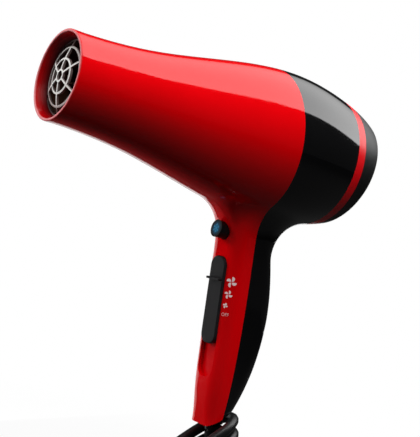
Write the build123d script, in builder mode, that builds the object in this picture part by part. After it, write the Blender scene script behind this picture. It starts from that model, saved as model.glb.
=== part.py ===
"""Hand-held hair dryer: two housings, heater, motor and fan, slide switch, cool button and mains cord.

Millimetres. The origin is the middle of the grip, +Z is up and +X runs along the barrel to the air intake.
Stations are distances along the barrel axis, measured from the outlet mouth.
"""

import os
from math import cos, pi, radians, sin, sqrt, tan

from build123d import *

os.makedirs("parts", exist_ok=True)

# Barrel: where its axis lies from the grip, and the outer skin as stations and radii
axis_height = 105.0
mouth_reach = 151.0
mouth_radius = 25.0
collar_length = 8.0
waist_station = 52.0
waist_radius = 28.9
shoulder_station = 100.0
shoulder_radius = 38.6
belly_station = 146.0
belly_radius = 44.4
ring_station = 178.7
ring_radius = 40.5
ring_width = 6.9
rim_station = 200.7
rim_radius = 33.6
blank_station = 214.0
blank_radius = 26.0
rear_lean = 10.0
rim_rounding = 4.5
wall = 2.2
fit_gap = 0.2

# Outlet lip and grille
lip_depth = 6.0
lip_mouth_radius = 23.6
lip_throat_radius = 20.8
lip_edge = 0.6
grille_rim = 1.5
grille_hub = 3.1
grille_middle = 9.4
grille_outer = 16.1
grille_bar = 1.1
grille_depth = 1.3
grille_nose = 1.5
spoke_count = 6

# Grip: straight leaning front, arched back and rounded corners, cut off slanting at the foot
track_lean = 6.5
grip_front = -18.4
grip_back = 16.1
grip_back_radius = 125.0
grip_back_level = -6.0
grip_half_width = 14.2
front_corner = 8.5
back_flat = 8.0
neck_fillet = 24.0
foot_slope = 39.0
foot_x = 0.5
foot_z = -55.5

# Line where the two housings meet, seen from the side
parting_top_x = -19.5
parting_neck_x = -12.6
parting_neck_z = 65.0
parting_low_x = -4.8
parting_low_z = -12.0
parting_foot_x = -3.5

# Power slider: a cover that runs in a channel down the front of the grip
slider_length = 51.2
slider_width = 14.0
slider_top = 34.2
slider_travel = 19.3
slider_proud = 1.4
channel_depth = 2.6
channel_gap = 0.35
slider_corner = 5.5
fin_drop = 13.2
fin_rise = 2.4
fin_thickness = 1.3
stem_width = 4.0
stem_length = 6.0
stem_reach = 6.5
stem_drop = 26.2

# Slide switch behind the channel floor
switch_width = 15.0
switch_depth = 11.0
switch_length = 38.0
switch_pocket = 6.0

# Cool button at the top of the grip
button_level = 49.1
button_lean = 3.0
button_seat_rise = 0.6
button_half_width = 5.8
button_half_height = 4.9
button_face_radius = 5.2
button_neck = 3.0
button_rise = 5.6
button_travel = 2.0
button_skirt = 5.7
button_flange = 1.5
button_gap = 0.3
lens_radius = 4.1
lens_depth = 0.9
microswitch_width = 9.0
microswitch_height = 11.0
microswitch_depth = 7.0
carrier_height = 6.0
carrier_thickness = 2.0

# Housing screws and their bosses
boss_radius = 4.2
screw_levels = (30.0, -27.0)
screw_radius = 1.5
screw_head_radius = 2.8
screw_head_height = 2.0
screw_seat = 6.0
screw_length = 10.5
screw_gap = 0.3

# Heater: liner tube, crossed boards, wound element and its two cut-outs
liner_wall = 0.7
liner_front_radius = 21.9
liner_bend_station = 44.0
liner_bend_radius = 23.5
board_start = 16.0
board_end = 106.0
board_foot = 6.0
board_drop = 5.0
board_thickness = 0.8
element_start = 26.0
element_pitch = 5.5
element_turns = 11
element_wire = 0.9
element_lift = 1.25
thermostat_length = 11.0
thermostat_thickness = 4.5
thermostat_height = 8.0
fuse_radius = 1.6
fuse_length = 11.0
cutout_height = 9.0

# Fan shroud, motor and fan
shroud_front = 112.0
shroud_rear = 170.0
shroud_radius = 34.8
shroud_wall = 1.4
lead_hole_station = 125.0
flange_stations = (118.0, 165.0)
flange_width = 2.4
motor_radius = 13.75
motor_length = 32.0
motor_start = 115.0
cup_wall = 1.4
cup_start = 119.0
vane_count = 7
vane_thickness = 1.5
vane_length = 18.0
vane_pitch = 15.0
shaft_radius = 1.2
shaft_gap = 0.05
bearing_radius = 3.6
bearing_height = 1.6
hub_gap = 1.5
hub_radius = 9.0
hub_length = 14.0
blade_count = 7
blade_tip_gap = 0.9
blade_chord = 13.0
blade_thickness = 1.3
blade_root_pitch = 52.0
blade_tip_pitch = 28.0
rectifier_radius = 12.0
rectifier_thickness = 1.4
diode_radius = 1.4
diode_length = 5.0
diode_circle = 7.0

# Accent ring, intake cap and lint screen
ring_bore = 34.6
ring_spigot_length = 6.0
cap_spigot_length = 6.0
cap_gap = 0.3
cap_face = 2.4
cap_inner_radius = 31.0
cap_ledge = 1.4
cap_ledge_station = 190.0
slot_width = 2.4
slot_pitch = 4.9
slot_rows = 5
slot_first = 5.6
rib_count = 8
rib_width = 2.2
screen_thickness = 0.8
screen_border = 2.0
screen_pitch = 5.2
screen_bar = 1.0

# Cord: strain relief, clamp, free lead, hank and plug
cord_radius = 3.1
cord_gap = 0.05
relief_length = 24.0
relief_root_radius = 5.6
relief_tip_radius = 4.2
relief_flange_radius = 6.6
relief_flange = 1.2
relief_ribs = 4
relief_first_rib = 1.7
cord_inside = 18.0
clamp_reach = 13.0
clamp_width = 17.0
clamp_height = 6.0
clamp_front = 4.4
clamp_back = 5.0
clamp_screw_spread = 6.2
clamp_screw_radius = 1.2
clamp_screw_length = 14.0
clamp_head_radius = 2.2
clamp_head_height = 1.6
hank_turns = 5
hank_bend = 19.0
hank_run = 110.0
hank_pitch = 6.9
hank_offset = 13.0
hank_level = 7.6
hank_roll = 16.0
hank_lean = 0.6
tie_place = 88.0
tie_width = 6.0
tie_gap = 0.25
tie_thickness = 1.2
cord_sides = 8
tail_reach = 52.0
tail_side = 15.0
tail_drop = 4.0
plug_length = 44.0
plug_half_width = 15.0
plug_half_depth = 10.0
plug_neck_radius = 4.6
plug_pin_radius = 2.4
plug_pin_length = 19.0
plug_pin_spread = 19.0
wire_radius = 0.9
wire_bend = 2.0
wire_spread = 6.2
wire_pair = 1.6
boss_pass_x = -7.5
boss_pass_z = 36.0
button_pass_x = -5.5
button_pass_z = 52.0
duct_pass_x = -7.0
shroud_clear = 2.4
shroud_lift = 4.0
board_overlap = 3.0

barrel_axis = Axis((0, 0, axis_height), (1, 0, 0))
handle_down = Vector(sin(radians(track_lean)), 0, -cos(radians(track_lean)))
foot_normal = Vector(sin(radians(foot_slope)), 0, -cos(radians(foot_slope)))
foot_centre = Vector(foot_x, 0, foot_z)
cap_station = ring_station + ring_width
rear_normal = Vector(cos(radians(rear_lean)), 0, -sin(radians(rear_lean)))


def station(distance):
    """X of a place on the barrel, given its distance from the mouth."""
    return distance - mouth_reach


def skin(distance, radius, inset):
    """Point on the upper outline of the barrel, drawn in by an inset."""
    return (station(distance), axis_height + radius - inset)


def barrel_blank(inset, start=0.0, edge=0.0):
    """Turned solid inside the barrel's outer skin, drawn in by an inset, with a rounded front edge."""
    with BuildPart() as blank:
        with BuildSketch(Plane.XZ) as outline:
            with BuildLine():
                front = skin(start, mouth_radius, inset)
                collar_end = skin(collar_length, mouth_radius, inset)
                rear = skin(blank_station, blank_radius, inset)
                Polyline((front[0], axis_height), front, collar_end)
                Spline(
                    collar_end,
                    skin(waist_station, waist_radius, inset),
                    skin(shoulder_station, shoulder_radius, inset),
                    skin(belly_station, belly_radius, inset),
                    skin(ring_station, ring_radius, inset),
                    skin(rim_station, rim_radius, inset),
                    rear,
                    tangents=[(1, 0.03), (1, -0.6)],
                )
                Polyline(rear, (rear[0], axis_height), (front[0], axis_height))
            make_face()
            if edge:
                fillet(outline.vertices().group_by(Axis.X)[0].sort_by(Axis.Y)[-1], edge)
        revolve(axis=barrel_axis)
    return blank.part


def barrel_slice(inset, first, last):
    """Slice of the barrel blank between two stations."""
    with BuildPart() as piece:
        add(barrel_blank(inset))
        split(bisect_by=Plane.YZ.offset(station(first)), keep=Keep.TOP)
        split(bisect_by=Plane.YZ.offset(station(last)), keep=Keep.BOTTOM)
    return piece.part


def front_at(level):
    """X of the grip's front line at a level."""
    return grip_front - tan(radians(track_lean)) * level


def back_at(level):
    """X of the grip's arched back at a level."""
    arch = sqrt(grip_back_radius**2 - (level - grip_back_level) ** 2)
    return grip_back - grip_back_radius + arch


# Each section of the grip: level, shift of the front, shift of the back, change of half width
grip_sections = (
    (-68.0, 1.4, 0.0, -3.0),
    (-50.0, 0.4, 0.0, -1.4),
    (-25.0, 0.0, 0.0, -0.2),
    (0.0, 0.0, 0.0, 0.1),
    (22.0, 0.0, 0.0, 0.0),
    (42.0, 0.0, 0.9, -0.2),
    (58.0, -2.5, 4.4, 0.1),
    (76.0, -9.0, 10.9, 1.3),
)


def grip_blank(inset):
    """Solid inside the grip's outer skin, drawn in by an inset."""
    with BuildPart() as grip:
        for level, front_shift, back_shift, widening in grip_sections:
            front = front_at(level) + front_shift + inset
            back = back_at(level) + back_shift - inset
            half_width = grip_half_width + widening - inset
            depth = back - front
            with BuildSketch(Plane.XY.offset(level)) as section:
                with Locations(((front + back) / 2, 0)):
                    Rectangle(depth, 2 * half_width)
                front_corners = section.vertices().group_by(Axis.X)[0]
                fillet(front_corners, min(front_corner - inset, 0.42 * depth))
                back_corners = section.vertices().group_by(Axis.X)[-1]
                fillet(back_corners, min(half_width - back_flat / 2, 0.5 * depth))
        loft()
        split(
            bisect_by=Plane(origin=foot_centre - foot_normal * inset, z_dir=foot_normal),
            keep=Keep.BOTTOM,
        )
    return grip.part


def dryer_body(inset, start, last, edge):
    """Barrel and grip in one, with the blended neck and the slanted foot, drawn in by an inset."""
    with BuildPart() as body:
        add(barrel_blank(inset, start, edge))
        split(bisect_by=Plane.YZ.offset(station(last)), keep=Keep.BOTTOM)
        add(grip_blank(inset))
        fillet(body.edges(Select.NEW), radius=neck_fillet + inset)
    return body.part


# Plane on the front line of the grip: its X is across, its Y up the grip and its Z straight out
track_plane = Plane(
    origin=(front_at(slider_top), 0, slider_top),
    x_dir=(0, -1, 0),
    z_dir=(-cos(radians(track_lean)), 0, -sin(radians(track_lean))),
)
channel_floor = track_plane.offset(-channel_depth)
channel_back = channel_floor.offset(-wall)
slider_middle = -slider_length / 2
channel_length = slider_length + slider_travel + 2 * channel_gap
channel_middle = -(slider_length + slider_travel) / 2
stem_slot_length = stem_length + slider_travel + 2 * channel_gap
stem_slot_middle = -stem_drop - slider_travel / 2

# Plane of the cool button: it faces forwards and a little up
button_out = Vector(-cos(radians(button_lean)), 0, sin(radians(button_lean)))
button_seat = Plane(
    origin=(front_at(button_level) - button_seat_rise, 0, button_level),
    x_dir=(0, -1, 0),
    z_dir=button_out,
)

# Axes of the hank: along its runs, across it and down through its turns, rolled about the runs
hank_along = Vector(-cos(radians(foot_slope)), 0, -sin(radians(foot_slope)))
hank_across = Vector(0, 1, 0) * cos(radians(hank_roll)) + foot_normal * sin(radians(hank_roll))
hank_down = foot_normal * cos(radians(hank_roll)) - Vector(0, 1, 0) * sin(radians(hank_roll))
hank_start_level = hank_level + (hank_turns - 0.5) * hank_pitch
hank_far_end = hank_offset + hank_run
hank_frame = Plane(origin=foot_centre, x_dir=hank_along, z_dir=hank_down)


def in_hank(along, across, down):
    """Place in the hank's own frame; each level lies further along the runs than the one above it."""
    return Vector(along + hank_lean * (down - hank_level), across, down)


def hank_point(along, across, down):
    """Point given along, across and down the hank, from the middle of the slanted foot."""
    return hank_frame.from_local_coords(in_hank(along, across, down))


def parting_at(level):
    """X of the parting line at a level of the grip, taken as straight from the neck down."""
    slope = (parting_low_x - parting_neck_x) / (parting_low_z - parting_neck_z)
    return max(parting_neck_x + slope * (level - parting_neck_z), parting_neck_x)


def axis_disc(distance, radius, length):
    """Round bar on the barrel axis, from a station towards the intake."""
    with BuildPart() as bar:
        with BuildSketch(Plane.YZ.offset(station(distance))):
            with Locations((0, axis_height)):
                Circle(radius)
        extrude(amount=length)
    return bar.part


def liner_radius(distance):
    """Inner radius of the heater's liner at a station."""
    if distance < liner_bend_station:
        share = (distance - liner_start) / (liner_bend_station - liner_start)
        return liner_front_radius + share * (liner_bend_radius - liner_front_radius)
    share = (distance - liner_bend_station) / (shroud_front - liner_bend_station)
    return liner_bend_radius + share * (shroud_radius - liner_bend_radius)


def wire(points, bend):
    """Insulated wire through points, with rounded corners."""
    with BuildPart() as lead:
        with BuildLine() as route:
            FilletPolyline(*points, radius=bend)
        with BuildSketch(Plane(origin=route.line @ 0, z_dir=route.line % 0)):
            RegularPolygon(wire_radius, cord_sides)
        sweep()
    return lead.part


liner_start = lip_depth + grille_rim
liner_outer_front = liner_front_radius + liner_wall
shroud_outer = shroud_radius + shroud_wall
lead_rise_x = station(lead_hole_station)
ring_spigot_radius = ring_radius - wall - fit_gap
cap_spigot_radius = ring_bore - cap_gap
cup_radius = motor_radius + shaft_gap
cup_end = motor_start + motor_length
hub_start = cup_end + cup_wall + hub_gap
rear_plane = Plane(origin=(station(rim_station), 0, axis_height), z_dir=rear_normal)
relief_plane = Plane(origin=foot_centre, x_dir=(0, 1, 0), z_dir=handle_down)
clamp_plane = relief_plane.offset(-clamp_reach)
clamp_face = Plane(
    origin=clamp_plane.origin + clamp_plane.y_dir * clamp_back, x_dir=(0, 1, 0), z_dir=clamp_plane.y_dir
)

outer_body = dryer_body(0.0, 0.0, ring_station, lip_edge)
inner_body = dryer_body(wall, lip_depth, blank_station, 0.0)

# Rear half of space, cut along the parting line
with BuildPart() as rear_half:
    with BuildSketch(Plane.XZ):
        with BuildLine():
            top = (parting_top_x, axis_height + belly_radius + wall)
            foot = (parting_foot_x, foot_z - axis_height / 2)
            far = station(blank_station) + wall
            Spline(top, (parting_neck_x, parting_neck_z), (parting_low_x, parting_low_z), foot)
            Polyline(foot, (far, foot[1]), (far, top[1]), top)
        make_face()
    extrude(amount=belly_radius + wall, both=True)

# Both housings in one, before they are parted
with BuildPart() as housing:
    add(outer_body)
    add(inner_body, mode=Mode.SUBTRACT)
    with BuildSketch(Plane.XZ):
        with BuildLine():
            Polyline(
                (station(0), axis_height),
                (station(0), axis_height + lip_mouth_radius),
                (station(lip_depth), axis_height + lip_throat_radius),
                (station(lip_depth), axis_height),
                close=True,
            )
        make_face()
    revolve(axis=barrel_axis, mode=Mode.SUBTRACT)
    with BuildSketch(relief_plane):
        Circle(relief_root_radius + cord_gap)
    extrude(amount=relief_length / 2, both=True, mode=Mode.SUBTRACT)

# Solid columns inside the grip: the channel's floor, the screw bosses and the pad under the cord clamp
with BuildPart() as grip_columns:
    with BuildSketch(track_plane):
        with Locations((0, channel_middle)):
            RectangleRounded(slider_width + 2 * wall, channel_length + 2 * wall, slider_corner + wall)
    extrude(amount=-(channel_depth + wall))
    for level in screw_levels:
        with BuildSketch(Plane.YZ.offset(front_at(level))):
            with Locations((0, level)):
                Circle(boss_radius)
        extrude(amount=back_at(level) - front_at(level))
    with BuildSketch(clamp_plane):
        with Locations((0, -clamp_front - fit_gap)):
            Rectangle(clamp_width, grip_back, align=(Align.CENTER, Align.MAX))
    extrude(amount=clamp_height / 2, both=True)
    add(outer_body, mode=Mode.INTERSECT)

# Front housing: barrel and front of the grip in one, with the slider's channel and the button's hole
with BuildPart() as front_shell:
    add(housing.part)
    add(grip_columns.part)
    with BuildSketch(track_plane.offset(wall)):
        with Locations((0, channel_middle)):
            RectangleRounded(slider_width + 2 * channel_gap, channel_length, slider_corner + channel_gap)
    extrude(amount=-(wall + channel_depth), mode=Mode.SUBTRACT)
    with BuildSketch(channel_floor):
        with Locations((0, stem_slot_middle)):
            Rectangle(stem_width + 2 * channel_gap, stem_slot_length)
    extrude(amount=-2 * wall, mode=Mode.SUBTRACT)
    with BuildSketch(button_seat):
        Ellipse(button_half_width + button_gap, button_half_height + button_gap)
    extrude(amount=4 * wall, both=True, mode=Mode.SUBTRACT)
    for level in screw_levels:
        with BuildSketch(Plane.YZ.offset(parting_at(level) + screw_seat)):
            with Locations((0, level)):
                Circle(screw_radius)
        extrude(amount=-screw_length, mode=Mode.SUBTRACT)
    with BuildSketch(clamp_face):
        with GridLocations(2 * clamp_screw_spread, 0, 2, 1):
            Circle(clamp_screw_radius)
    extrude(amount=-clamp_screw_length, mode=Mode.SUBTRACT)
    add(rear_half.part, mode=Mode.SUBTRACT)
front_shell.part.label = "front_shell"
export_step(front_shell.part, "parts/front_shell.step")

# Rear housing: tail of the barrel and back of the grip, with sunk screw holes
with BuildPart() as rear_shell:
    add(housing.part)
    add(grip_columns.part)
    for level in screw_levels:
        with BuildSketch(Plane.YZ.offset(parting_at(level) + screw_seat)):
            with Locations((0, level)):
                Circle(screw_radius + screw_gap)
        extrude(amount=-screw_length, mode=Mode.SUBTRACT)
        with BuildSketch(Plane.YZ.offset(parting_at(level) + screw_seat)):
            with Locations((0, level)):
                Circle(screw_head_radius + screw_gap)
        extrude(amount=2 * grip_back, mode=Mode.SUBTRACT)
    add(rear_half.part, mode=Mode.INTERSECT)
rear_shell.part.label = "rear_shell"
export_step(rear_shell.part, "parts/rear_shell.step")

# Two screws that draw the rear housing onto the front one
with BuildPart() as housing_screws:
    for level in screw_levels:
        with BuildSketch(Plane.YZ.offset(parting_at(level) + screw_seat)):
            with Locations((0, level)):
                Circle(screw_radius)
        extrude(amount=-screw_length)
        with BuildSketch(Plane.YZ.offset(parting_at(level) + screw_seat)):
            with Locations((0, level)):
                Circle(screw_head_radius)
        extrude(amount=screw_head_height)
housing_screws.part.label = "housing_screws"
export_step(housing_screws.part, "parts/housing_screws.step")

# Red ring between the rear housing and the intake cap
with BuildPart() as accent_ring:
    add(barrel_slice(0.0, ring_station, cap_station))
    add(axis_disc(ring_station - ring_spigot_length, ring_spigot_radius, ring_spigot_length))
    add(
        axis_disc(ring_station - ring_spigot_length, ring_bore, ring_spigot_length + ring_width),
        mode=Mode.SUBTRACT,
    )
accent_ring.part.label = "accent_ring"
export_step(accent_ring.part, "parts/accent_ring.step")

# Hollow of the intake cap: a bore up to the screen's ledge, then a narrower one up to the slanted face
with BuildPart() as cap_hollow:
    add(axis_disc(cap_station - cap_spigot_length, cap_inner_radius - cap_ledge, blank_station))
    split(bisect_by=rear_plane.offset(-cap_face), keep=Keep.BOTTOM)
    add(
        axis_disc(
            cap_station - cap_spigot_length,
            cap_inner_radius,
            cap_ledge_station - cap_station + cap_spigot_length,
        )
    )

# Intake cap: slanted rear face with rings of slots, on a spigot that pulls out of the ring
with BuildPart() as intake_cap:
    add(barrel_blank(0.0))
    split(bisect_by=Plane.YZ.offset(station(cap_station)), keep=Keep.TOP)
    split(bisect_by=rear_plane, keep=Keep.BOTTOM)
    fillet(intake_cap.faces().sort_by(Axis.X)[-1].edges(), radius=rim_rounding)
    add(axis_disc(cap_station - cap_spigot_length, cap_spigot_radius, cap_spigot_length))
    add(cap_hollow.part, mode=Mode.SUBTRACT)
    with BuildSketch(rear_plane):
        for row in reversed(range(slot_rows)):
            inner = slot_first + row * slot_pitch
            Circle(inner + slot_width)
            Circle(inner, mode=Mode.SUBTRACT)
        with PolarLocations(0, rib_count // 2, angular_range=180):
            Rectangle(2 * cap_inner_radius, rib_width, mode=Mode.SUBTRACT)
    extrude(amount=-2 * cap_face, mode=Mode.SUBTRACT)
intake_cap.part.label = "intake_cap"
export_step(intake_cap.part, "parts/intake_cap.step")

# Lint screen: a flat net that rests on the cap's ledge
screen_limit = cap_inner_radius - screen_border - screen_pitch / 2
screen_steps = range(-int(screen_limit / screen_pitch), int(screen_limit / screen_pitch) + 1)
screen_places = [
    (row * screen_pitch, axis_height + column * screen_pitch)
    for row in screen_steps
    for column in screen_steps
    if sqrt(row**2 + column**2) * screen_pitch < screen_limit
]
with BuildPart() as lint_screen:
    with BuildSketch(Plane.YZ.offset(station(cap_ledge_station))):
        with Locations((0, axis_height)):
            Circle(cap_inner_radius - cord_gap)
        with Locations(*screen_places):
            Rectangle(screen_pitch - screen_bar, screen_pitch - screen_bar, mode=Mode.SUBTRACT)
    extrude(amount=-screen_thickness)
lint_screen.part.label = "lint_screen"
export_step(lint_screen.part, "parts/lint_screen.step")

# Outlet grille: rings and spokes cut from a shallow dome, on a rim behind the lip
with BuildPart() as outlet_grille:
    dome_rise = lip_depth - grille_nose
    with BuildSketch(Plane.XZ):
        with BuildLine():
            nose = (station(grille_nose), axis_height)
            crown = (station(grille_nose + dome_rise / 4), axis_height + lip_throat_radius / 2)
            brim = (station(lip_depth), axis_height + lip_throat_radius)
            ThreePointArc(nose, crown, brim)
            Line(brim, (brim[0] + grille_depth, brim[1]))
            ThreePointArc(
                (brim[0] + grille_depth, brim[1]),
                (crown[0] + grille_depth, crown[1]),
                (nose[0] + grille_depth, nose[1]),
            )
            Line((nose[0] + grille_depth, nose[1]), nose)
        make_face()
    revolve(axis=barrel_axis)
    with BuildSketch(Plane.YZ.offset(station(0))):
        with Locations((0, axis_height)):
            for ring in (grille_outer, grille_middle, grille_hub):
                Circle(ring + grille_bar / 2)
                Circle(ring - grille_bar / 2, mode=Mode.SUBTRACT)
            with PolarLocations(grille_hub, spoke_count, start_angle=90):
                Rectangle(lip_throat_radius - grille_hub, grille_bar, align=(Align.MIN, Align.CENTER))
    extrude(amount=2 * lip_depth, mode=Mode.INTERSECT)
    with BuildSketch(Plane.YZ.offset(station(lip_depth))):
        with Locations((0, axis_height)):
            Circle(liner_outer_front)
            Circle(lip_throat_radius - grille_bar / 2, mode=Mode.SUBTRACT)
    extrude(amount=grille_rim)
outlet_grille.part.label = "outlet_grille"
export_step(outlet_grille.part, "parts/outlet_grille.step")

# Heat liner: thin insulating tube from the grille's rim to the fan shroud
with BuildPart() as heat_liner:
    with BuildSketch(Plane.XZ):
        with BuildLine():
            Polyline(
                (station(liner_start), axis_height + liner_front_radius),
                (station(liner_bend_station), axis_height + liner_bend_radius),
                (station(shroud_front), axis_height + shroud_radius),
                (station(shroud_front), axis_height + shroud_radius + liner_wall),
                (station(liner_bend_station), axis_height + liner_bend_radius + liner_wall),
                (station(liner_start), axis_height + liner_outer_front),
                close=True,
            )
        make_face()
    revolve(axis=barrel_axis)
heat_liner.part.label = "heat_liner"
export_step(heat_liner.part, "parts/heat_liner.step")


def heater_board(plane, slot_from, slot_to):
    """Board of the heater's cross: feet at both ends, lower edges between, and a slot for its twin."""
    front_foot = board_start + board_foot
    rear_foot = board_end - board_foot
    outline = [
        (board_start, liner_radius(board_start) - fit_gap),
        (front_foot, liner_radius(front_foot) - fit_gap),
        (front_foot, liner_radius(front_foot) - board_drop),
        (liner_bend_station, liner_radius(liner_bend_station) - board_drop),
        (rear_foot, liner_radius(rear_foot) - board_drop),
        (rear_foot, liner_radius(rear_foot) - fit_gap - board_thickness),
        (board_end, liner_radius(board_end) - fit_gap - board_thickness),
    ]
    upper = [(station(distance), height) for distance, height in outline]
    lower = [(x, -height) for x, height in reversed(upper)]
    with BuildPart() as board:
        with BuildSketch(plane):
            with BuildLine():
                Polyline(*upper, *lower, close=True)
            make_face()
            with Locations((station((slot_from + slot_to) / 2), 0)):
                Rectangle(slot_to - slot_from, board_thickness + cord_gap, mode=Mode.SUBTRACT)
        extrude(amount=board_thickness / 2, both=True)
    return board.part


board_middle = (board_start + board_end) / 2
upright_plane = Plane(origin=(0, 0, axis_height), x_dir=(1, 0, 0), z_dir=(0, -1, 0))
level_plane = Plane(origin=(0, 0, axis_height), x_dir=(1, 0, 0), z_dir=(0, 0, 1))
with BuildPart() as heater_board_upright:
    add(heater_board(upright_plane, board_middle, board_end))
heater_board_upright.part.label = "heater_board_upright"
export_step(heater_board_upright.part, "parts/heater_board_upright.step")

with BuildPart() as heater_board_level:
    add(heater_board(level_plane, board_start, board_middle))
heater_board_level.part.label = "heater_board_level"
export_step(heater_board_level.part, "parts/heater_board_level.step")

# Heating element: wire wound round the cross, straight from each board's edge to the next
element_corners = []
for quarter in range(4 * element_turns + 1):
    place = element_start + element_pitch * quarter / 4
    reach = liner_radius(place) - board_drop + element_lift
    element_corners.append(
        (
            station(place),
            reach * sin(radians(90 * quarter)),
            axis_height + reach * cos(radians(90 * quarter)),
        )
    )
with BuildPart() as heating_element:
    with BuildLine() as winding:
        Polyline(*element_corners)
    with BuildSketch(Plane(origin=winding.line @ 0, z_dir=winding.line % 0)):
        Rectangle(element_wire, element_wire)
    sweep(transition=Transition.RIGHT)
heating_element.part.label = "heating_element"
export_step(heating_element.part, "parts/heating_element.step")

# Thermostat and thermal fuse on the upright board, behind the winding
with BuildPart() as thermostat:
    with BuildSketch(upright_plane.offset(board_thickness / 2)):
        with Locations((station(board_end - thermostat_length / 2), cutout_height)):
            Rectangle(thermostat_length, thermostat_height)
    extrude(amount=thermostat_thickness)
    fillet(thermostat.edges().filter_by(Axis.Y), radius=thermostat_height / 8)
thermostat.part.label = "thermostat"
export_step(thermostat.part, "parts/thermostat.step")

with BuildPart() as thermal_fuse:
    with BuildSketch(Plane.YZ.offset(station(board_end - fuse_length))):
        with Locations((board_thickness / 2 + fuse_radius, axis_height + cutout_height)):
            Circle(fuse_radius)
    extrude(amount=fuse_length)
thermal_fuse.part.label = "thermal_fuse"
export_step(thermal_fuse.part, "parts/thermal_fuse.step")

# Fan shroud: duct with two flanges against the housing, motor cup and guide vanes
with BuildPart() as fan_shroud:
    for flange in flange_stations:
        add(barrel_slice(wall + fit_gap, flange, flange + flange_width))
    add(axis_disc(shroud_front, shroud_outer, shroud_rear - shroud_front))
    add(axis_disc(shroud_front, shroud_radius, shroud_rear - shroud_front), mode=Mode.SUBTRACT)
    for turn in range(vane_count):
        vane_plane = Plane(
            origin=(station(cup_start + vane_length / 2), 0, axis_height), x_dir=(1, 0, 0), z_dir=(0, 0, 1)
        ).rotated((360 * turn / vane_count, 0, 0))
        with BuildSketch(vane_plane.offset(cup_radius)):
            Rectangle(vane_length, vane_thickness, rotation=vane_pitch)
        extrude(amount=shroud_radius - cup_radius + shroud_wall / 2)
    add(axis_disc(cup_start, cup_radius + cup_wall, cup_end - cup_start + cup_wall))
    add(axis_disc(cup_start, cup_radius, cup_end - cup_start), mode=Mode.SUBTRACT)
    add(axis_disc(cup_end, bearing_radius + fit_gap, cup_wall), mode=Mode.SUBTRACT)
    with BuildSketch(Plane.XY.offset(axis_height)):
        with Locations((lead_rise_x, wire_pair), (lead_rise_x, -wire_pair)):
            Circle(wire_radius + screw_gap)
    extrude(amount=-belly_radius, mode=Mode.SUBTRACT)
fan_shroud.part.label = "fan_shroud"
export_step(fan_shroud.part, "parts/fan_shroud.step")

# Motor can with its bearing nose
with BuildPart() as motor_can:
    add(axis_disc(motor_start, motor_radius, motor_length))
    fillet(motor_can.edges().filter_by(GeomType.CIRCLE), radius=cup_wall)
    add(axis_disc(cup_end, bearing_radius, bearing_height))
    add(
        axis_disc(motor_start, shaft_radius + shaft_gap, motor_length + bearing_height),
        mode=Mode.SUBTRACT,
    )
motor_can.part.label = "motor_can"
export_step(motor_can.part, "parts/motor_can.step")

with BuildPart() as motor_shaft:
    add(axis_disc(motor_start, shaft_radius, hub_start + hub_length - motor_start))
motor_shaft.part.label = "motor_shaft"
export_step(motor_shaft.part, "parts/motor_shaft.step")

# Fan: hub with a rounded nose and twisted blades
with BuildPart() as fan:
    add(axis_disc(hub_start, hub_radius, hub_length))
    fillet(fan.edges().sort_by(Axis.X)[-1], radius=hub_radius / 2)
    for turn in range(blade_count):
        blade_plane = Plane(
            origin=(station(hub_start + hub_length / 2), 0, axis_height), x_dir=(1, 0, 0), z_dir=(0, 0, 1)
        ).rotated((360 * turn / blade_count, 0, 0))
        with BuildSketch(blade_plane.offset(hub_radius / 2)) as blade_root:
            Rectangle(blade_chord, blade_thickness, rotation=90 - blade_root_pitch)
        with BuildSketch(blade_plane.offset(shroud_radius - blade_tip_gap)) as blade_tip:
            Rectangle(blade_chord, blade_thickness, rotation=90 - blade_tip_pitch)
        loft(sections=[blade_root.sketch, blade_tip.sketch], ruled=True)
    add(axis_disc(hub_start, shaft_radius, hub_length), mode=Mode.SUBTRACT)
fan.part.label = "fan"
export_step(fan.part, "parts/fan.step")

# Rectifier on the motor's front end: board and four diodes
with BuildPart() as rectifier_board:
    add(axis_disc(motor_start - rectifier_thickness, rectifier_radius, rectifier_thickness))
rectifier_board.part.label = "rectifier_board"
export_step(rectifier_board.part, "parts/rectifier_board.step")

with BuildPart() as diodes:
    with BuildSketch(Plane.YZ.offset(station(motor_start - rectifier_thickness))):
        with Locations((0, axis_height)):
            with PolarLocations(diode_circle, 4):
                RectangleRounded(diode_length, 2 * diode_radius, diode_radius / 2)
    extrude(amount=-2 * diode_radius)
diodes.part.label = "diodes"
export_step(diodes.part, "parts/diodes.step")

# Power slider: cover with a finger fin, and the stem that works the switch
with BuildPart() as power_slider:
    with BuildSketch(channel_floor.offset(channel_gap)):
        with Locations((0, slider_middle)):
            RectangleRounded(slider_width, slider_length, slider_corner)
    extrude(amount=channel_depth - channel_gap + slider_proud)
    fillet(power_slider.faces().sort_by(Axis.X)[0].edges(), radius=slider_proud / 2)
    with BuildSketch(track_plane.offset(slider_proud)):
        with Locations((0, -fin_drop)):
            RectangleRounded(slider_width - slider_proud, fin_thickness, fin_thickness / 3)
    extrude(amount=fin_rise)
    with BuildSketch(channel_floor.offset(channel_gap)):
        with Locations((0, -stem_drop)):
            Rectangle(stem_width, stem_length)
    extrude(amount=-stem_reach)
power_slider.part.label = "power_slider"
export_step(power_slider.part, "parts/power_slider.step")

# Slide switch body, flat against the channel's floor from inside
with BuildPart() as slide_switch:
    with BuildSketch(channel_back):
        with Locations((0, stem_slot_middle)):
            Rectangle(switch_width, switch_length)
    extrude(amount=-switch_depth)
    with BuildSketch(channel_back):
        with Locations((0, stem_slot_middle)):
            Rectangle(stem_width + 2 * channel_gap, stem_slot_length)
    extrude(amount=-switch_pocket, mode=Mode.SUBTRACT)
slide_switch.part.label = "slide_switch"
export_step(slide_switch.part, "parts/slide_switch.step")

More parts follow.
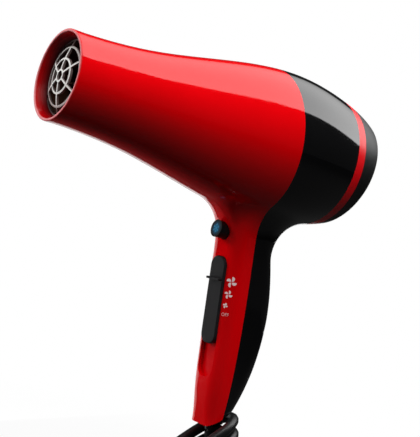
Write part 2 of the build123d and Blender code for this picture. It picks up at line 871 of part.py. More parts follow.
# Cool button: an oval neck that turns into a round face, a skirt in the housing's hole and a catch inside
with BuildPart() as cool_button:
    with BuildSketch(button_seat.offset(button_neck)):
        Ellipse(button_half_width, button_half_height)
    with BuildSketch(button_seat.offset(button_rise)):
        Circle(button_face_radius)
    loft()
    with BuildSketch(button_seat.offset(button_neck)):
        Ellipse(button_half_width, button_half_height)
    extrude(amount=-(button_neck + button_skirt))
    with BuildSketch(button_seat.offset(-button_skirt)):
        Rectangle(button_half_width, 2 * (button_half_height + button_flange))
    extrude(amount=button_flange)
    with BuildSketch(button_seat.offset(button_rise)):
        Circle(lens_radius)
    extrude(amount=-lens_depth, mode=Mode.SUBTRACT)
cool_button.part.label = "cool_button"
export_step(cool_button.part, "parts/cool_button.step")

with BuildPart() as cool_button_face:
    with BuildSketch(button_seat.offset(button_rise)):
        Circle(lens_radius)
    extrude(amount=-lens_depth)
cool_button_face.part.label = "cool_button_face"
export_step(cool_button_face.part, "parts/cool_button_face.step")

# Sprung switch behind the button, on a carrier that spans the neck of the grip
switch_face = button_seat.offset(-(button_skirt + button_travel + fit_gap))
with BuildPart() as cool_switch:
    with BuildSketch(switch_face):
        Rectangle(microswitch_width, microswitch_height)
    extrude(amount=-microswitch_depth)
    with BuildSketch(switch_face.offset(-microswitch_depth)):
        Rectangle(2 * (grip_half_width - wall - fit_gap), carrier_height)
    extrude(amount=carrier_thickness)
cool_switch.part.label = "cool_switch"
export_step(cool_switch.part, "parts/cool_switch.step")

# Strain relief: slanted flange inside the foot and a ribbed taper outside
flange_seat = Plane(origin=foot_centre - foot_normal * wall, z_dir=foot_normal)
with BuildPart() as relief_flange_disc:
    with BuildSketch(relief_plane):
        Circle(relief_flange_radius)
    extrude(amount=relief_length, both=True)
    split(bisect_by=flange_seat, keep=Keep.BOTTOM)
    split(bisect_by=flange_seat.offset(-relief_flange), keep=Keep.TOP)

with BuildPart() as relief_root:
    with BuildSketch(relief_plane):
        Circle(relief_root_radius)
    extrude(amount=-relief_length)
    split(bisect_by=flange_seat.offset(-relief_flange), keep=Keep.TOP)

with BuildPart() as strain_relief:
    with BuildSketch(relief_plane):
        Circle(relief_root_radius)
    with BuildSketch(relief_plane.offset(relief_length)):
        Circle(relief_tip_radius)
    loft()
    rib_step = relief_length / (relief_ribs + 2)
    for rib in range(relief_ribs):
        with BuildSketch(relief_plane.offset((rib + relief_first_rib) * rib_step)):
            Circle(2 * relief_root_radius)
            Circle(cord_radius + 2 * cord_gap + fit_gap * 2, mode=Mode.SUBTRACT)
        extrude(amount=rib_step / 3, mode=Mode.SUBTRACT)
    add(relief_root.part)
    add(relief_flange_disc.part)
    with BuildSketch(relief_plane):
        Circle(cord_radius + cord_gap)
    extrude(amount=2 * relief_length, both=True, mode=Mode.SUBTRACT)
strain_relief.part.label = "strain_relief"
export_step(strain_relief.part, "parts/strain_relief.step")

# Free lead: out of the relief and down to the hank, through points along, across and down the hank
lead_points = ((36.7, 12.0, 46.5), (77.6, 16.5, 45.0))
lead_exit = 20.0
lead_join = 105.6
hank_begin = 115.6
cord_top = foot_centre - handle_down * cord_inside
relief_end = foot_centre + handle_down * relief_length
lead_route = [
    relief_end,
    relief_end + handle_down * lead_exit,
    *[hank_point(*point) for point in lead_points],
    hank_point(lead_join, hank_bend, hank_start_level),
    hank_point(hank_begin, hank_bend, hank_start_level),
]


def corner_radii(points):
    """Radius for each corner of a route: 0.45 of its shorter run over the half turn's tangent."""
    radii = []
    for before, corner, after in zip(points, points[1:], points[2:]):
        turn = (corner - before).get_angle(after - corner)
        shorter = min((corner - before).length, (after - corner).length)
        radii.append(0.45 * shorter / tan(radians(turn / 2)))
    return radii


with BuildPart() as cord_lead:
    with BuildLine() as lead_line:
        Line(cord_top, relief_end)
        FilletPolyline(*lead_route, radius=corner_radii(lead_route))
    with BuildSketch(Plane(origin=cord_top, x_dir=(0, 1, 0), z_dir=handle_down)):
        Circle(cord_radius)
    sweep()
cord_lead.part.label = "cord_lead"
export_step(cord_lead.part, "parts/cord_lead.step")

# Hank: one tube, its turns one above the other, each run climbing half a pitch in a gentle S, then a tail
hank_start = in_hank(hank_begin, hank_bend, hank_start_level)
tail_end = in_hank(hank_offset + tail_reach, hank_bend + tail_side, hank_level + tail_drop)
tail_tip = tail_end + Vector(2 * cord_radius, 0, 0)
with BuildPart() as laid_flat:
    with BuildLine() as hank_line:
        Line(hank_start, in_hank(hank_far_end, hank_bend, hank_start_level))
        for turn in range(hank_turns):
            level = hank_start_level - turn * hank_pitch
            raised = level - hank_pitch / 2
            far_bend = in_hank(hank_far_end, -hank_bend, level)
            far_tip = in_hank(hank_far_end + hank_bend, 0, level)
            ThreePointArc(in_hank(hank_far_end, hank_bend, level), far_tip, far_bend)
            near_bend = in_hank(hank_offset, -hank_bend, raised)
            middle = (far_bend + near_bend) * 0.5
            climb = TangentArc(far_bend, middle, tangent=(-1, 0, 0))
            TangentArc(middle, near_bend, tangent=climb % 1)
            back = in_hank(hank_offset, hank_bend, raised)
            ThreePointArc(near_bend, in_hank(hank_offset - hank_bend, 0, raised), back)
            next_bend = in_hank(hank_far_end, hank_bend, level - hank_pitch)
            if turn == hank_turns - 1:
                next_bend = tail_end
            middle = (back + next_bend) * 0.5
            climb = TangentArc(back, middle, tangent=(1, 0, 0))
            TangentArc(middle, next_bend, tangent=climb % 1)
        Line(tail_end, tail_tip)
    with BuildSketch(Plane(origin=hank_start, x_dir=(0, 0, 1), z_dir=(1, 0, 0))):
        Circle(cord_radius)
    sweep(path=hank_line.line)

with BuildPart() as cord_hank:
    with Locations(hank_frame.location):
        add(laid_flat.part)
cord_hank.part.label = "cord_hank"
export_step(cord_hank.part, "parts/cord_hank.step")

# Middle line of the cord as points in the hank's frame: the hank's own, then the lead's
sample_step = 2.0


def sampled(edges):
    """Points along edges, about a sample step apart."""
    points = []
    for edge in edges:
        count = max(int(edge.length / sample_step), 1)
        points += [edge @ (step / count) for step in range(count)]
    return points


hank_points = sampled(hank_line.edges())
lead_points_sampled = [hank_frame.to_local_coords(point) for point in sampled(lead_line.edges())]

# Tie: a strap drawn tight round all the strands that pass its place
strands = []
for points in (hank_points, lead_points_sampled):
    for before, after in zip(points, points[1:]):
        share = (tie_place - before.X) / (after.X - before.X) if after.X != before.X else -1.0
        if 0 <= share < 1:
            strands.append(before + (after - before) * share)
tie_plane = Plane(
    origin=hank_frame.from_local_coords((tie_place, 0, 0)), x_dir=hank_across, z_dir=hank_along
)
with BuildPart() as cord_tie:
    with BuildSketch(tie_plane) as strap:
        with BuildLine():
            for strand in strands:
                CenterArc((strand.Y, strand.Z), cord_radius + tie_gap + tie_thickness, 0, 360)
        make_hull()
    extrude(amount=tie_width / 2, both=True)
    with BuildSketch(tie_plane):
        with BuildLine():
            for strand in strands:
                CenterArc((strand.Y, strand.Z), cord_radius + tie_gap, 0, 360)
        make_hull()
    extrude(amount=tie_width, both=True, mode=Mode.SUBTRACT)
cord_tie.part.label = "cord_tie"
export_step(cord_tie.part, "parts/cord_tie.step")

plug_start = hank_frame.from_local_coords(tail_tip)

# Plug: flat moulded body that tapers to the cord, with two round pins
plug_plane = Plane(origin=plug_start, x_dir=hank_down, z_dir=hank_along)
with BuildPart() as plug_body:
    with BuildSketch(plug_plane):
        Circle(plug_neck_radius)
    with BuildSketch(plug_plane.offset(plug_length / 2)):
        Ellipse(plug_half_width * 0.8, plug_half_depth * 0.9)
    with BuildSketch(plug_plane.offset(plug_length)):
        Ellipse(plug_half_width, plug_half_depth)
    loft()
plug_body.part.label = "plug_body"
export_step(plug_body.part, "parts/plug_body.step")

with BuildPart() as plug_pins:
    with BuildSketch(plug_plane.offset(plug_length)):
        with GridLocations(plug_pin_spread, 0, 2, 1):
            Circle(plug_pin_radius)
    extrude(amount=plug_pin_length)
plug_pins.part.label = "plug_pins"
export_step(plug_pins.part, "parts/plug_pins.step")

# Cord clamp: a bar with the cord through it, screwed to a pad of the front housing
with BuildPart() as cord_clamp:
    with BuildSketch(clamp_plane):
        with Locations((0, (clamp_back - clamp_front) / 2)):
            Rectangle(clamp_width, clamp_front + clamp_back)
        Circle(cord_radius + cord_gap, mode=Mode.SUBTRACT)
    extrude(amount=clamp_height / 2, both=True)
    with BuildSketch(clamp_face):
        with GridLocations(2 * clamp_screw_spread, 0, 2, 1):
            Circle(clamp_screw_radius)
    extrude(amount=-clamp_screw_length, mode=Mode.SUBTRACT)
cord_clamp.part.label = "cord_clamp"
export_step(cord_clamp.part, "parts/cord_clamp.step")

with BuildPart() as clamp_screws:
    with BuildSketch(clamp_face):
        with GridLocations(2 * clamp_screw_spread, 0, 2, 1):
            Circle(clamp_screw_radius)
    extrude(amount=-clamp_screw_length)
    with BuildSketch(clamp_face):
        with GridLocations(2 * clamp_screw_spread, 0, 2, 1):
            Circle(clamp_head_radius)
    extrude(amount=clamp_head_height)
clamp_screws.part.label = "clamp_screws"
export_step(clamp_screws.part, "parts/clamp_screws.step")

# Supply leads: from the cord's inner end, round the lower boss, to the foot of the switch
switch_middle = channel_back.offset(-switch_depth / 2)
switch_reach = switch_length / 2 + 2 * fit_gap
with BuildPart() as supply_leads:
    for side in (-1, 1):
        switch_foot = switch_middle.from_local_coords(
            (-side * wire_spread, stem_slot_middle - switch_reach, 0)
        )
        start = cord_top + Vector(0, side * wire_pair, 0)
        bypass = Vector((start.X + switch_foot.X) / 2, side * wire_spread, screw_levels[1] - boss_radius)
        add(wire((start, start - handle_down * wire_bend, bypass, switch_foot), wire_bend / 2))
supply_leads.part.label = "supply_leads"
export_step(supply_leads.part, "parts/supply_leads.step")

# Heater leads: from the head of the switch, up behind the button's switch, through the shroud to the boards
lead_bottom = axis_height - shroud_outer - shroud_clear
lead_inside = axis_height - shroud_radius + shroud_lift
with BuildPart() as heater_leads:
    for side in (-1, 1):
        switch_head = switch_middle.from_local_coords(
            (-side * wire_spread, stem_slot_middle + switch_reach, 0)
        )
        add(
            wire(
                (
                    switch_head,
                    (boss_pass_x, side * wire_spread, boss_pass_z),
                    (button_pass_x, side * wire_spread, button_pass_z),
                    (duct_pass_x, side * wire_pair, lead_bottom),
                    (lead_rise_x, side * wire_pair, lead_bottom),
                    (lead_rise_x, side * wire_pair, lead_inside),
                    (station(board_end - board_overlap), side * wire_pair, lead_inside),
                ),
                wire_bend,
            )
        )
heater_leads.part.label = "heater_leads"
export_step(heater_leads.part, "parts/heater_leads.step")

# The cord's measures: lengths, corner radii, volume over section times length, and the hank's least gap
lead_length = sum(edge.length for edge in lead_line.edges())
hank_length = sum(edge.length for edge in hank_line.edges())
section = pi * cord_radius**2
apart = int(hank_bend / sample_step)
least_gap = min(
    (hank_points[first] - hank_points[second]).length - 2 * cord_radius
    for first in range(len(hank_points))
    for second in range(first + apart, len(hank_points))
)
print("cord lead and hank, mm:", round(lead_length), round(hank_length))
print("lead corner radii, mm:", [round(radius) for radius in corner_radii(lead_route)])
print("lead volume ratio", round(cord_lead.part.volume / (section * lead_length), 3))
print("hank volume ratio", round(cord_hank.part.volume / (section * hank_length), 3))
print("hank least gap to itself, mm:", round(least_gap, 2), "strands in the tie:", len(strands))
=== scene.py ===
"""Looks of a hand-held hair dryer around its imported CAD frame.

Metres; the origin is the middle of the grip.
"""

from math import cos, pi, radians, sin

import bpy
from mathutils import Matrix, Vector


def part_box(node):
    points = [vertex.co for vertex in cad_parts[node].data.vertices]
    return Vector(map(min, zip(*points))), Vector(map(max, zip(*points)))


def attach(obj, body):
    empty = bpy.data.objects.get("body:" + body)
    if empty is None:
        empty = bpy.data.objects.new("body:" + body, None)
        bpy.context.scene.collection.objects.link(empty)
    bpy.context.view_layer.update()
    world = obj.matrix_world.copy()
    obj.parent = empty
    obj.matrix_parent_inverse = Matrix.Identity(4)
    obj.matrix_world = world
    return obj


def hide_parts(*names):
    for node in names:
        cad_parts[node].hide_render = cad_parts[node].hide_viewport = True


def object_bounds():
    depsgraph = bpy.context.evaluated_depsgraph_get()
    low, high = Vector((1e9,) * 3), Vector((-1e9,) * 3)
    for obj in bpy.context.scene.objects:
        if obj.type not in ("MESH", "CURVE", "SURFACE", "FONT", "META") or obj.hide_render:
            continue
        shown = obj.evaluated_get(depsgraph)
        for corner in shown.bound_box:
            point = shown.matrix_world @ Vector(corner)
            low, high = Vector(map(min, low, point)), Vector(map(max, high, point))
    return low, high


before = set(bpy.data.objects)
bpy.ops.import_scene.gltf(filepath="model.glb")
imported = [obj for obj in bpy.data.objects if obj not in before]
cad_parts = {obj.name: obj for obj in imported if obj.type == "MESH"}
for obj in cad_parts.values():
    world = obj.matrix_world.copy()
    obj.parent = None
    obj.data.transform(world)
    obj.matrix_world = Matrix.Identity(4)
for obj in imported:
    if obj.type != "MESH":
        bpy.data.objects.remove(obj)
cad_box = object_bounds()

# Front housing
# One glossy moulding of red ABS: the barrel and the front half of the grip.
# It comes out of a polished mould, so it mirrors the studio with sharp edges.


def linear(code):
    """Linear colour of an sRGB hex code."""
    shares = [int(code[place : place + 2], 16) / 255 for place in (0, 2, 4)]
    return tuple(s / 12.92 if s <= 0.04045 else ((s + 0.055) / 1.055) ** 2.4 for s in shares) + (1.0,)


def shader(material, kind, sockets=None, links=None, **fields):
    """Adds a node to a material, with its fields, its sockets' values and what feeds them."""
    tree = material.node_tree
    made = tree.nodes.new(kind)
    for field, value in fields.items():
        setattr(made, field, value)
    for socket, value in (sockets or {}).items():
        made.inputs[socket].default_value = value
    for socket, source in (links or {}).items():
        tree.links.new(source, made.inputs[socket])
    return made


def new_material(name):
    """Material with an empty node tree, and its output node."""
    material = bpy.data.materials.new(name)
    material.use_nodes = True
    material.node_tree.nodes.clear()
    return material, material.node_tree.nodes.new("ShaderNodeOutputMaterial")


def two_tones(ramp, dark, light):
    """Sets a colour ramp's two ends from sRGB hex codes."""
    ramp.color_ramp.elements[0].color = linear(dark)
    ramp.color_ramp.elements[1].color = linear(light)


def dress(material, *nodes):
    """Gives CAD nodes their material."""
    for node in nodes:
        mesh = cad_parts[node].data
        mesh.materials.clear()
        mesh.materials.append(material)


red_abs, output = new_material("red ABS, polished mould")
place = shader(red_abs, "ShaderNodeTexCoord")
# Flow marks: the gloss drifts over about 40 mm, and orange peel of about 3 mm barely bends the reflections
drift = shader(
    red_abs, "ShaderNodeTexNoise", {"Scale": 25.0, "Detail": 3.0}, {"Vector": place.outputs["Object"]}
)
gloss = shader(
    red_abs, "ShaderNodeMapRange", {"To Min": 0.05, "To Max": 0.10}, {"Value": drift.outputs["Fac"]}
)
peel = shader(
    red_abs, "ShaderNodeTexNoise", {"Scale": 330.0, "Detail": 1.0}, {"Vector": place.outputs["Object"]}
)
dents = shader(
    red_abs, "ShaderNodeBump", {"Strength": 0.03, "Distance": 0.0003}, {"Height": peel.outputs["Fac"]}
)
tint = shader(red_abs, "ShaderNodeValToRGB", None, {"Fac": drift.outputs["Fac"]})
two_tones(tint, "CE0006", "DA0008")
barrel_height = 0.105
mouth_radius = 0.0236
throat_radius = 0.0208
outlet_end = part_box("front_shell")[0][0]


def from_barrel_axis(material, place):
    """Distance of a point from the barrel's axis."""
    flat = shader(
        material, "ShaderNodeVectorMath", {1: (0, 1, 1)}, {0: place.outputs["Object"]}, operation="MULTIPLY"
    )
    return shader(
        material,
        "ShaderNodeVectorMath",
        {1: (0, 0, barrel_height)},
        {0: flat.outputs["Vector"]},
        operation="DISTANCE",
    )


# Painted shade: the mouth of the outlet darkens to a deep brown-red, more the further in
painted_shade_to = mouth_radius + 0.0008
reach = from_barrel_axis(red_abs, place)
painted_shade = shader(
    red_abs,
    "ShaderNodeMapRange",
    {"From Min": throat_radius, "From Max": painted_shade_to, "To Min": 1.0, "To Max": 0.0},
    {"Value": reach.outputs["Value"]},
)
mouth = shader(
    red_abs,
    "ShaderNodeMix",
    {"B": linear("3A0206")},
    {"Factor": painted_shade.outputs["Result"], "A": tint.outputs["Color"]},
    data_type="RGBA",
)
# The same painted-shade mask dulls the gloss in there too
added_roughness = 0.3
dulled = shader(
    red_abs,
    "ShaderNodeMath",
    {1: added_roughness},
    {0: painted_shade.outputs["Result"], 2: gloss.outputs["Result"]},
    operation="MULTIPLY_ADD",
)
# Painted highlight: the lip's end is painted paler pink, most along its inner edge
lip_highlight_full = outlet_end + 0.0001
lip_highlight_none = outlet_end + 0.0007
edge_inside = mouth_radius + 0.0007
edge_outside = mouth_radius + 0.0013
along = shader(red_abs, "ShaderNodeSeparateXYZ", None, {"Vector": place.outputs["Object"]})
lip_highlight_depth = shader(
    red_abs,
    "ShaderNodeMapRange",
    {"From Min": lip_highlight_full, "From Max": lip_highlight_none, "To Min": 0.55, "To Max": 0.0},
    {"Value": along.outputs["X"]},
)
inner_edge = shader(
    red_abs,
    "ShaderNodeMapRange",
    {"From Min": edge_inside, "From Max": edge_outside, "To Min": 1.0, "To Max": 0.15},
    {"Value": reach.outputs["Value"]},
)
painted_lip_highlight = shader(
    red_abs,
    "ShaderNodeMath",
    None,
    {0: lip_highlight_depth.outputs["Result"], 1: inner_edge.outputs["Result"]},
    operation="MULTIPLY",
)
highlighted_lip = shader(
    red_abs,
    "ShaderNodeMix",
    {"B": linear("FFB0B4")},
    {"Factor": painted_lip_highlight.outputs["Value"], "A": mouth.outputs["Result"]},
    data_type="RGBA",
)
plastic = shader(
    red_abs,
    "ShaderNodeBsdfPrincipled",
    {"IOR": 1.47},
    {
        "Base Color": highlighted_lip.outputs["Result"],
        "Roughness": dulled.outputs["Value"],
        "Normal": dents.outputs["Normal"],
    },
)
red_abs.node_tree.links.new(plastic.outputs["BSDF"], output.inputs["Surface"])
dress(red_abs, "front_shell")

# Rear housing
# Black ABS from a mould polished like a mirror; it closes the grip's back and carries the red ring.
# Black shows only what it mirrors, so a clear coat over it draws the studio more strongly than the red does.

black_abs, output = new_material("black ABS, clear-coated")
place = shader(black_abs, "ShaderNodeTexCoord")
# The gloss drifts over about 40 mm, as on the red
drift = shader(
    black_abs, "ShaderNodeTexNoise", {"Scale": 25.0, "Detail": 3.0}, {"Vector": place.outputs["Object"]}
)
gloss = shader(
    black_abs, "ShaderNodeMapRange", {"To Min": 0.05, "To Max": 0.10}, {"Value": drift.outputs["Fac"]}
)
tint = shader(black_abs, "ShaderNodeValToRGB", None, {"Fac": drift.outputs["Fac"]})
two_tones(tint, "070708", "0D0D0E")
plastic = shader(
    black_abs,
    "ShaderNodeBsdfPrincipled",
    {"IOR": 1.53, "Coat Weight": 0.5, "Coat Roughness": 0.04, "Coat IOR": 1.5},
    {"Base Color": tint.outputs["Color"], "Roughness": gloss.outputs["Result"]},
)
black_abs.node_tree.links.new(plastic.outputs["BSDF"], output.inputs["Surface"])
dress(black_abs, "rear_shell")

# Accent ring
# A narrow ring of the same red ABS, pressed on between the black housing and its cap.
# Its mould is satin, so the softbox fades along it where the barrel shows a sharp edge.

satin_red, output = new_material("red ABS, satin mould")
place = shader(satin_red, "ShaderNodeTexCoord")
# Flow marks of about 10 mm
drift = shader(
    satin_red, "ShaderNodeTexNoise", {"Scale": 100.0, "Detail": 2.0}, {"Vector": place.outputs["Object"]}
)
tint = shader(satin_red, "ShaderNodeValToRGB", None, {"Fac": drift.outputs["Fac"]})
two_tones(tint, "D2000C", "E0000E")
plastic = shader(
    satin_red,
    "ShaderNodeBsdfPrincipled",
    {"Roughness": 0.3, "IOR": 1.5},
    {"Base Color": tint.outputs["Color"]},
)
satin_red.node_tree.links.new(plastic.outputs["BSDF"], output.inputs["Surface"])
dress(satin_red, "accent_ring")

# Intake cap
# The slotted cap behind the red ring is black ABS, satin from an etched mould; it pulls off for cleaning.
# The etching spreads the softbox into one long gradient instead of a mirrored edge.

satin_abs, output = new_material("black ABS, etched mould")
place = shader(satin_abs, "ShaderNodeTexCoord")
# Etching pits of about 0.4 mm
pits = shader(
    satin_abs, "ShaderNodeTexNoise", {"Scale": 2500.0, "Detail": 2.0}, {"Vector": place.outputs["Object"]}
)
dents = shader(
    satin_abs, "ShaderNodeBump", {"Strength": 0.06, "Distance": 0.0002}, {"Height": pits.outputs["Fac"]}
)
tint = shader(satin_abs, "ShaderNodeValToRGB", None, {"Fac": pits.outputs["Fac"]})
two_tones(tint, "0D0D0E", "151516")
plastic = shader(
    satin_abs,
    "ShaderNodeBsdfPrincipled",
    {"Roughness": 0.42, "IOR": 1.53},
    {"Base Color": tint.outputs["Color"], "Normal": dents.outputs["Normal"]},
)
satin_abs.node_tree.links.new(plastic.outputs["BSDF"], output.inputs["Surface"])
dress(satin_abs, "intake_cap")

# Lint screen
# A black nylon net behind the slots, moulded with a rim; it catches hair and dust.
# A little grey lint lightens it unevenly.

net_nylon, output = new_material("black nylon net with lint")
place = shader(net_nylon, "ShaderNodeTexCoord")
# Lint gathers in patches of about 10 mm
lint = shader(
    net_nylon, "ShaderNodeTexNoise", {"Scale": 100.0, "Detail": 4.0}, {"Vector": place.outputs["Object"]}
)
tint = shader(net_nylon, "ShaderNodeValToRGB", None, {"Fac": lint.outputs["Fac"]})
two_tones(tint, "141415", "2A2A2B")
nylon = shader(
    net_nylon,
    "ShaderNodeBsdfPrincipled",
    {"Roughness": 0.55, "IOR": 1.53},
    {"Base Color": tint.outputs["Color"]},
)
net_nylon.node_tree.links.new(nylon.outputs["BSDF"], output.inputs["Surface"])
dress(net_nylon, "lint_screen")

# Outlet grille and thermostat
# The grille is moulded from a white heat-proof plastic, satin from its mould.
# The thermostat's case is the same kind of plastic.

white_nylon, output = new_material("white heat-proof nylon, satin")
place = shader(white_nylon, "ShaderNodeTexCoord")
# Spark-eroded moulds leave a grain of about 0.4 mm
grain = shader(
    white_nylon, "ShaderNodeTexNoise", {"Scale": 2500.0, "Detail": 2.0}, {"Vector": place.outputs["Object"]}
)
dents = shader(
    white_nylon, "ShaderNodeBump", {"Strength": 0.08, "Distance": 0.0002}, {"Height": grain.outputs["Fac"]}
)
tint = shader(white_nylon, "ShaderNodeValToRGB", None, {"Fac": grain.outputs["Fac"]})
two_tones(tint, "EDEBE6", "F7F6F3")
# Painted shade: its outer ring and rim darken to a dark brown, next to the painted shade of the mouth
grille_shade_start = 0.0152
grille_shade_full = 0.0175
reach = from_barrel_axis(white_nylon, place)
painted_shade = shader(
    white_nylon,
    "ShaderNodeMapRange",
    {"From Min": grille_shade_start, "From Max": grille_shade_full, "To Min": 0.0, "To Max": 0.9},
    {"Value": reach.outputs["Value"]},
)
# Painted shade on the bars' flanks as well; their outer faces, which look along -X, stay white
flank_start = -0.8
flank_full = -0.3
outward = shader(white_nylon, "ShaderNodeSeparateXYZ", None, {"Vector": place.outputs["Normal"]})
painted_flank_shade = shader(
    white_nylon,
    "ShaderNodeMapRange",
    {"From Min": flank_start, "From Max": flank_full, "To Min": 0.0, "To Max": 0.85},
    {"Value": outward.outputs["X"]},
)
painted_grille_shade = shader(
    white_nylon,
    "ShaderNodeMath",
    None,
    {0: painted_shade.outputs["Result"], 1: painted_flank_shade.outputs["Result"]},
    operation="MAXIMUM",
)
# The white darkens towards brown wherever the painted shade of the rim or the flanks is stronger
shaded_white = shader(
    white_nylon,
    "ShaderNodeMix",
    {"B": linear("4A2A28")},
    {"Factor": painted_grille_shade.outputs["Value"], "A": tint.outputs["Color"]},
    data_type="RGBA",
)
nylon = shader(
    white_nylon,
    "ShaderNodeBsdfPrincipled",
    {"Roughness": 0.42, "IOR": 1.53},
    {"Base Color": shaded_white.outputs["Result"], "Normal": dents.outputs["Normal"]},
)
white_nylon.node_tree.links.new(nylon.outputs["BSDF"], output.inputs["Surface"])
dress(white_nylon, "outlet_grille", "thermostat")

# Heater
# Liner and crossed boards are sheets of amber mica, coloured darker than bare mica as painted shade deep
# inside the barrel; the winding is drawn resistance wire.
# Mica is built up of flakes, so it is blotched and faintly pearly.

amber_mica, output = new_material("amber mica board")
place = shader(amber_mica, "ShaderNodeTexCoord")
# Flakes of about 4 mm
flakes = shader(
    amber_mica, "ShaderNodeTexVoronoi", {"Scale": 250.0}, {"Vector": place.outputs["Object"]}, feature="F1"
)
tint = shader(amber_mica, "ShaderNodeValToRGB", None, {"Fac": flakes.outputs["Distance"]})
two_tones(tint, "3A2119", "5C3A28")
mica = shader(
    amber_mica,
    "ShaderNodeBsdfPrincipled",
    {"Roughness": 0.45, "IOR": 1.58, "Sheen Weight": 0.15},
    {"Base Color": tint.outputs["Color"]},
)
amber_mica.node_tree.links.new(mica.outputs["BSDF"], output.inputs["Surface"])
dress(amber_mica, "heat_liner", "heater_board_upright", "heater_board_level")

resistance_wire, output = new_material("resistance wire, drawn and oxidised")
place = shader(resistance_wire, "ShaderNodeTexCoord")
# Heat tints it in stretches of about 8 mm
tarnish = shader(
    resistance_wire,
    "ShaderNodeTexNoise",
    {"Scale": 120.0, "Detail": 3.0},
    {"Vector": place.outputs["Object"]},
)
tint = shader(resistance_wire, "ShaderNodeValToRGB", None, {"Fac": tarnish.outputs["Fac"]})
two_tones(tint, "6B6258", "A29C92")
metal = shader(
    resistance_wire,
    "ShaderNodeBsdfPrincipled",
    {"Roughness": 0.38, "Metallic": 1.0},
    {"Base Color": tint.outputs["Color"]},
)
resistance_wire.node_tree.links.new(metal.outputs["BSDF"], output.inputs["Surface"])
dress(resistance_wire, "heating_element", "thermal_fuse")

# Fan, motor and their shroud
# Shroud, switches and clamp are moulded in dark nylon and the fan in a pale one, both with a fine matt grain.
# Motor can, shaft and screws are zinc-plated steel, dull with faint streaks.
# The rectifier's board is a green laminate, pressed from woven glass.

dark_nylon, output = new_material("dark nylon, matt mould")
place = shader(dark_nylon, "ShaderNodeTexCoord")
# Mould grain of about 0.4 mm, which takes the shine off
grain = shader(
    dark_nylon, "ShaderNodeTexNoise", {"Scale": 2500.0, "Detail": 2.0}, {"Vector": place.outputs["Object"]}
)
dents = shader(
    dark_nylon, "ShaderNodeBump", {"Strength": 0.1, "Distance": 0.0002}, {"Height": grain.outputs["Fac"]}
)
tint = shader(dark_nylon, "ShaderNodeValToRGB", None, {"Fac": grain.outputs["Fac"]})
two_tones(tint, "1A1A1B", "222223")
nylon = shader(
    dark_nylon,
    "ShaderNodeBsdfPrincipled",
    {"Roughness": 0.5, "IOR": 1.53},
    {"Base Color": tint.outputs["Color"], "Normal": dents.outputs["Normal"]},
)
dark_nylon.node_tree.links.new(nylon.outputs["BSDF"], output.inputs["Surface"])
dress(dark_nylon, "fan_shroud", "slide_switch", "cool_switch", "cord_clamp", "diodes")

pale_nylon, output = new_material("pale nylon, matt mould")
place = shader(pale_nylon, "ShaderNodeTexCoord")
# The same grain shades the blades a little
grain = shader(
    pale_nylon, "ShaderNodeTexNoise", {"Scale": 2500.0, "Detail": 2.0}, {"Vector": place.outputs["Object"]}
)
tint = shader(pale_nylon, "ShaderNodeValToRGB", None, {"Fac": grain.outputs["Fac"]})
two_tones(tint, "C9C7C0", "D8D6D0")
nylon = shader(
    pale_nylon,
    "ShaderNodeBsdfPrincipled",
    {"Roughness": 0.46, "IOR": 1.53},
    {"Base Color": tint.outputs["Color"]},
)
pale_nylon.node_tree.links.new(nylon.outputs["BSDF"], output.inputs["Surface"])
dress(pale_nylon, "fan")

zinc_steel, output = new_material("zinc-plated steel")
place = shader(zinc_steel, "ShaderNodeTexCoord")
# Plating streaks of about 1.5 mm
streaks = shader(
    zinc_steel, "ShaderNodeTexNoise", {"Scale": 650.0, "Detail": 4.0}, {"Vector": place.outputs["Object"]}
)
gloss = shader(
    zinc_steel, "ShaderNodeMapRange", {"To Min": 0.25, "To Max": 0.4}, {"Value": streaks.outputs["Fac"]}
)
tint = shader(zinc_steel, "ShaderNodeValToRGB", None, {"Fac": streaks.outputs["Fac"]})
two_tones(tint, "A9ABAC", "BFC1C2")
metal = shader(
    zinc_steel,
    "ShaderNodeBsdfPrincipled",
    {"Metallic": 1.0},
    {"Base Color": tint.outputs["Color"], "Roughness": gloss.outputs["Result"]},
)
zinc_steel.node_tree.links.new(metal.outputs["BSDF"], output.inputs["Surface"])
dress(zinc_steel, "motor_can", "motor_shaft", "housing_screws", "clamp_screws")

green_laminate, output = new_material("green circuit laminate")
place = shader(green_laminate, "ShaderNodeTexCoord")
# Glass weave of about 1 mm under the green coat
weave = shader(
    green_laminate,
    "ShaderNodeTexChecker",
    {"Scale": 1000.0, "Color1": linear("1E5230"), "Color2": linear("22593A")},
    {"Vector": place.outputs["Object"]},
)
laminate = shader(
    green_laminate,
    "ShaderNodeBsdfPrincipled",
    {"Roughness": 0.35, "IOR": 1.5},
    {"Base Color": weave.outputs["Color"]},
)
green_laminate.node_tree.links.new(laminate.outputs["BSDF"], output.inputs["Surface"])
dress(green_laminate, "rectifier_board")

# Power slider
# A cover of dark grey ABS with a spark-eroded grain that the thumb doesn't slip on, and a thin fin across it.
# The grain scatters light, so it looks matt beside the glossy grip.

grey_abs, output = new_material("grey ABS, fine mould grain")
place = shader(grey_abs, "ShaderNodeTexCoord")
# Grain of about 0.4 mm
grain = shader(
    grey_abs, "ShaderNodeTexNoise", {"Scale": 2500.0, "Detail": 3.0}, {"Vector": place.outputs["Object"]}
)
dents = shader(
    grey_abs, "ShaderNodeBump", {"Strength": 0.12, "Distance": 0.0002}, {"Height": grain.outputs["Fac"]}
)
tint = shader(grey_abs, "ShaderNodeValToRGB", None, {"Fac": grain.outputs["Fac"]})
two_tones(tint, "18181A", "222223")
plastic = shader(
    grey_abs,
    "ShaderNodeBsdfPrincipled",
    {"Roughness": 0.55, "IOR": 1.4},
    {"Base Color": tint.outputs["Color"], "Normal": dents.outputs["Normal"]},
)
grey_abs.node_tree.links.new(plastic.outputs["BSDF"], output.inputs["Surface"])
dress(grey_abs, "power_slider")

# Marks beside the slider
# Three fans for the air settings and the word for none, pad-printed in pale ink on the corner of the grip.
# The ink is 0.05 mm thick and a little matt, so it stays readable where the plastic mirrors.

pale_ink, output = new_material("pale printing ink")
place = shader(pale_ink, "ShaderNodeTexCoord")
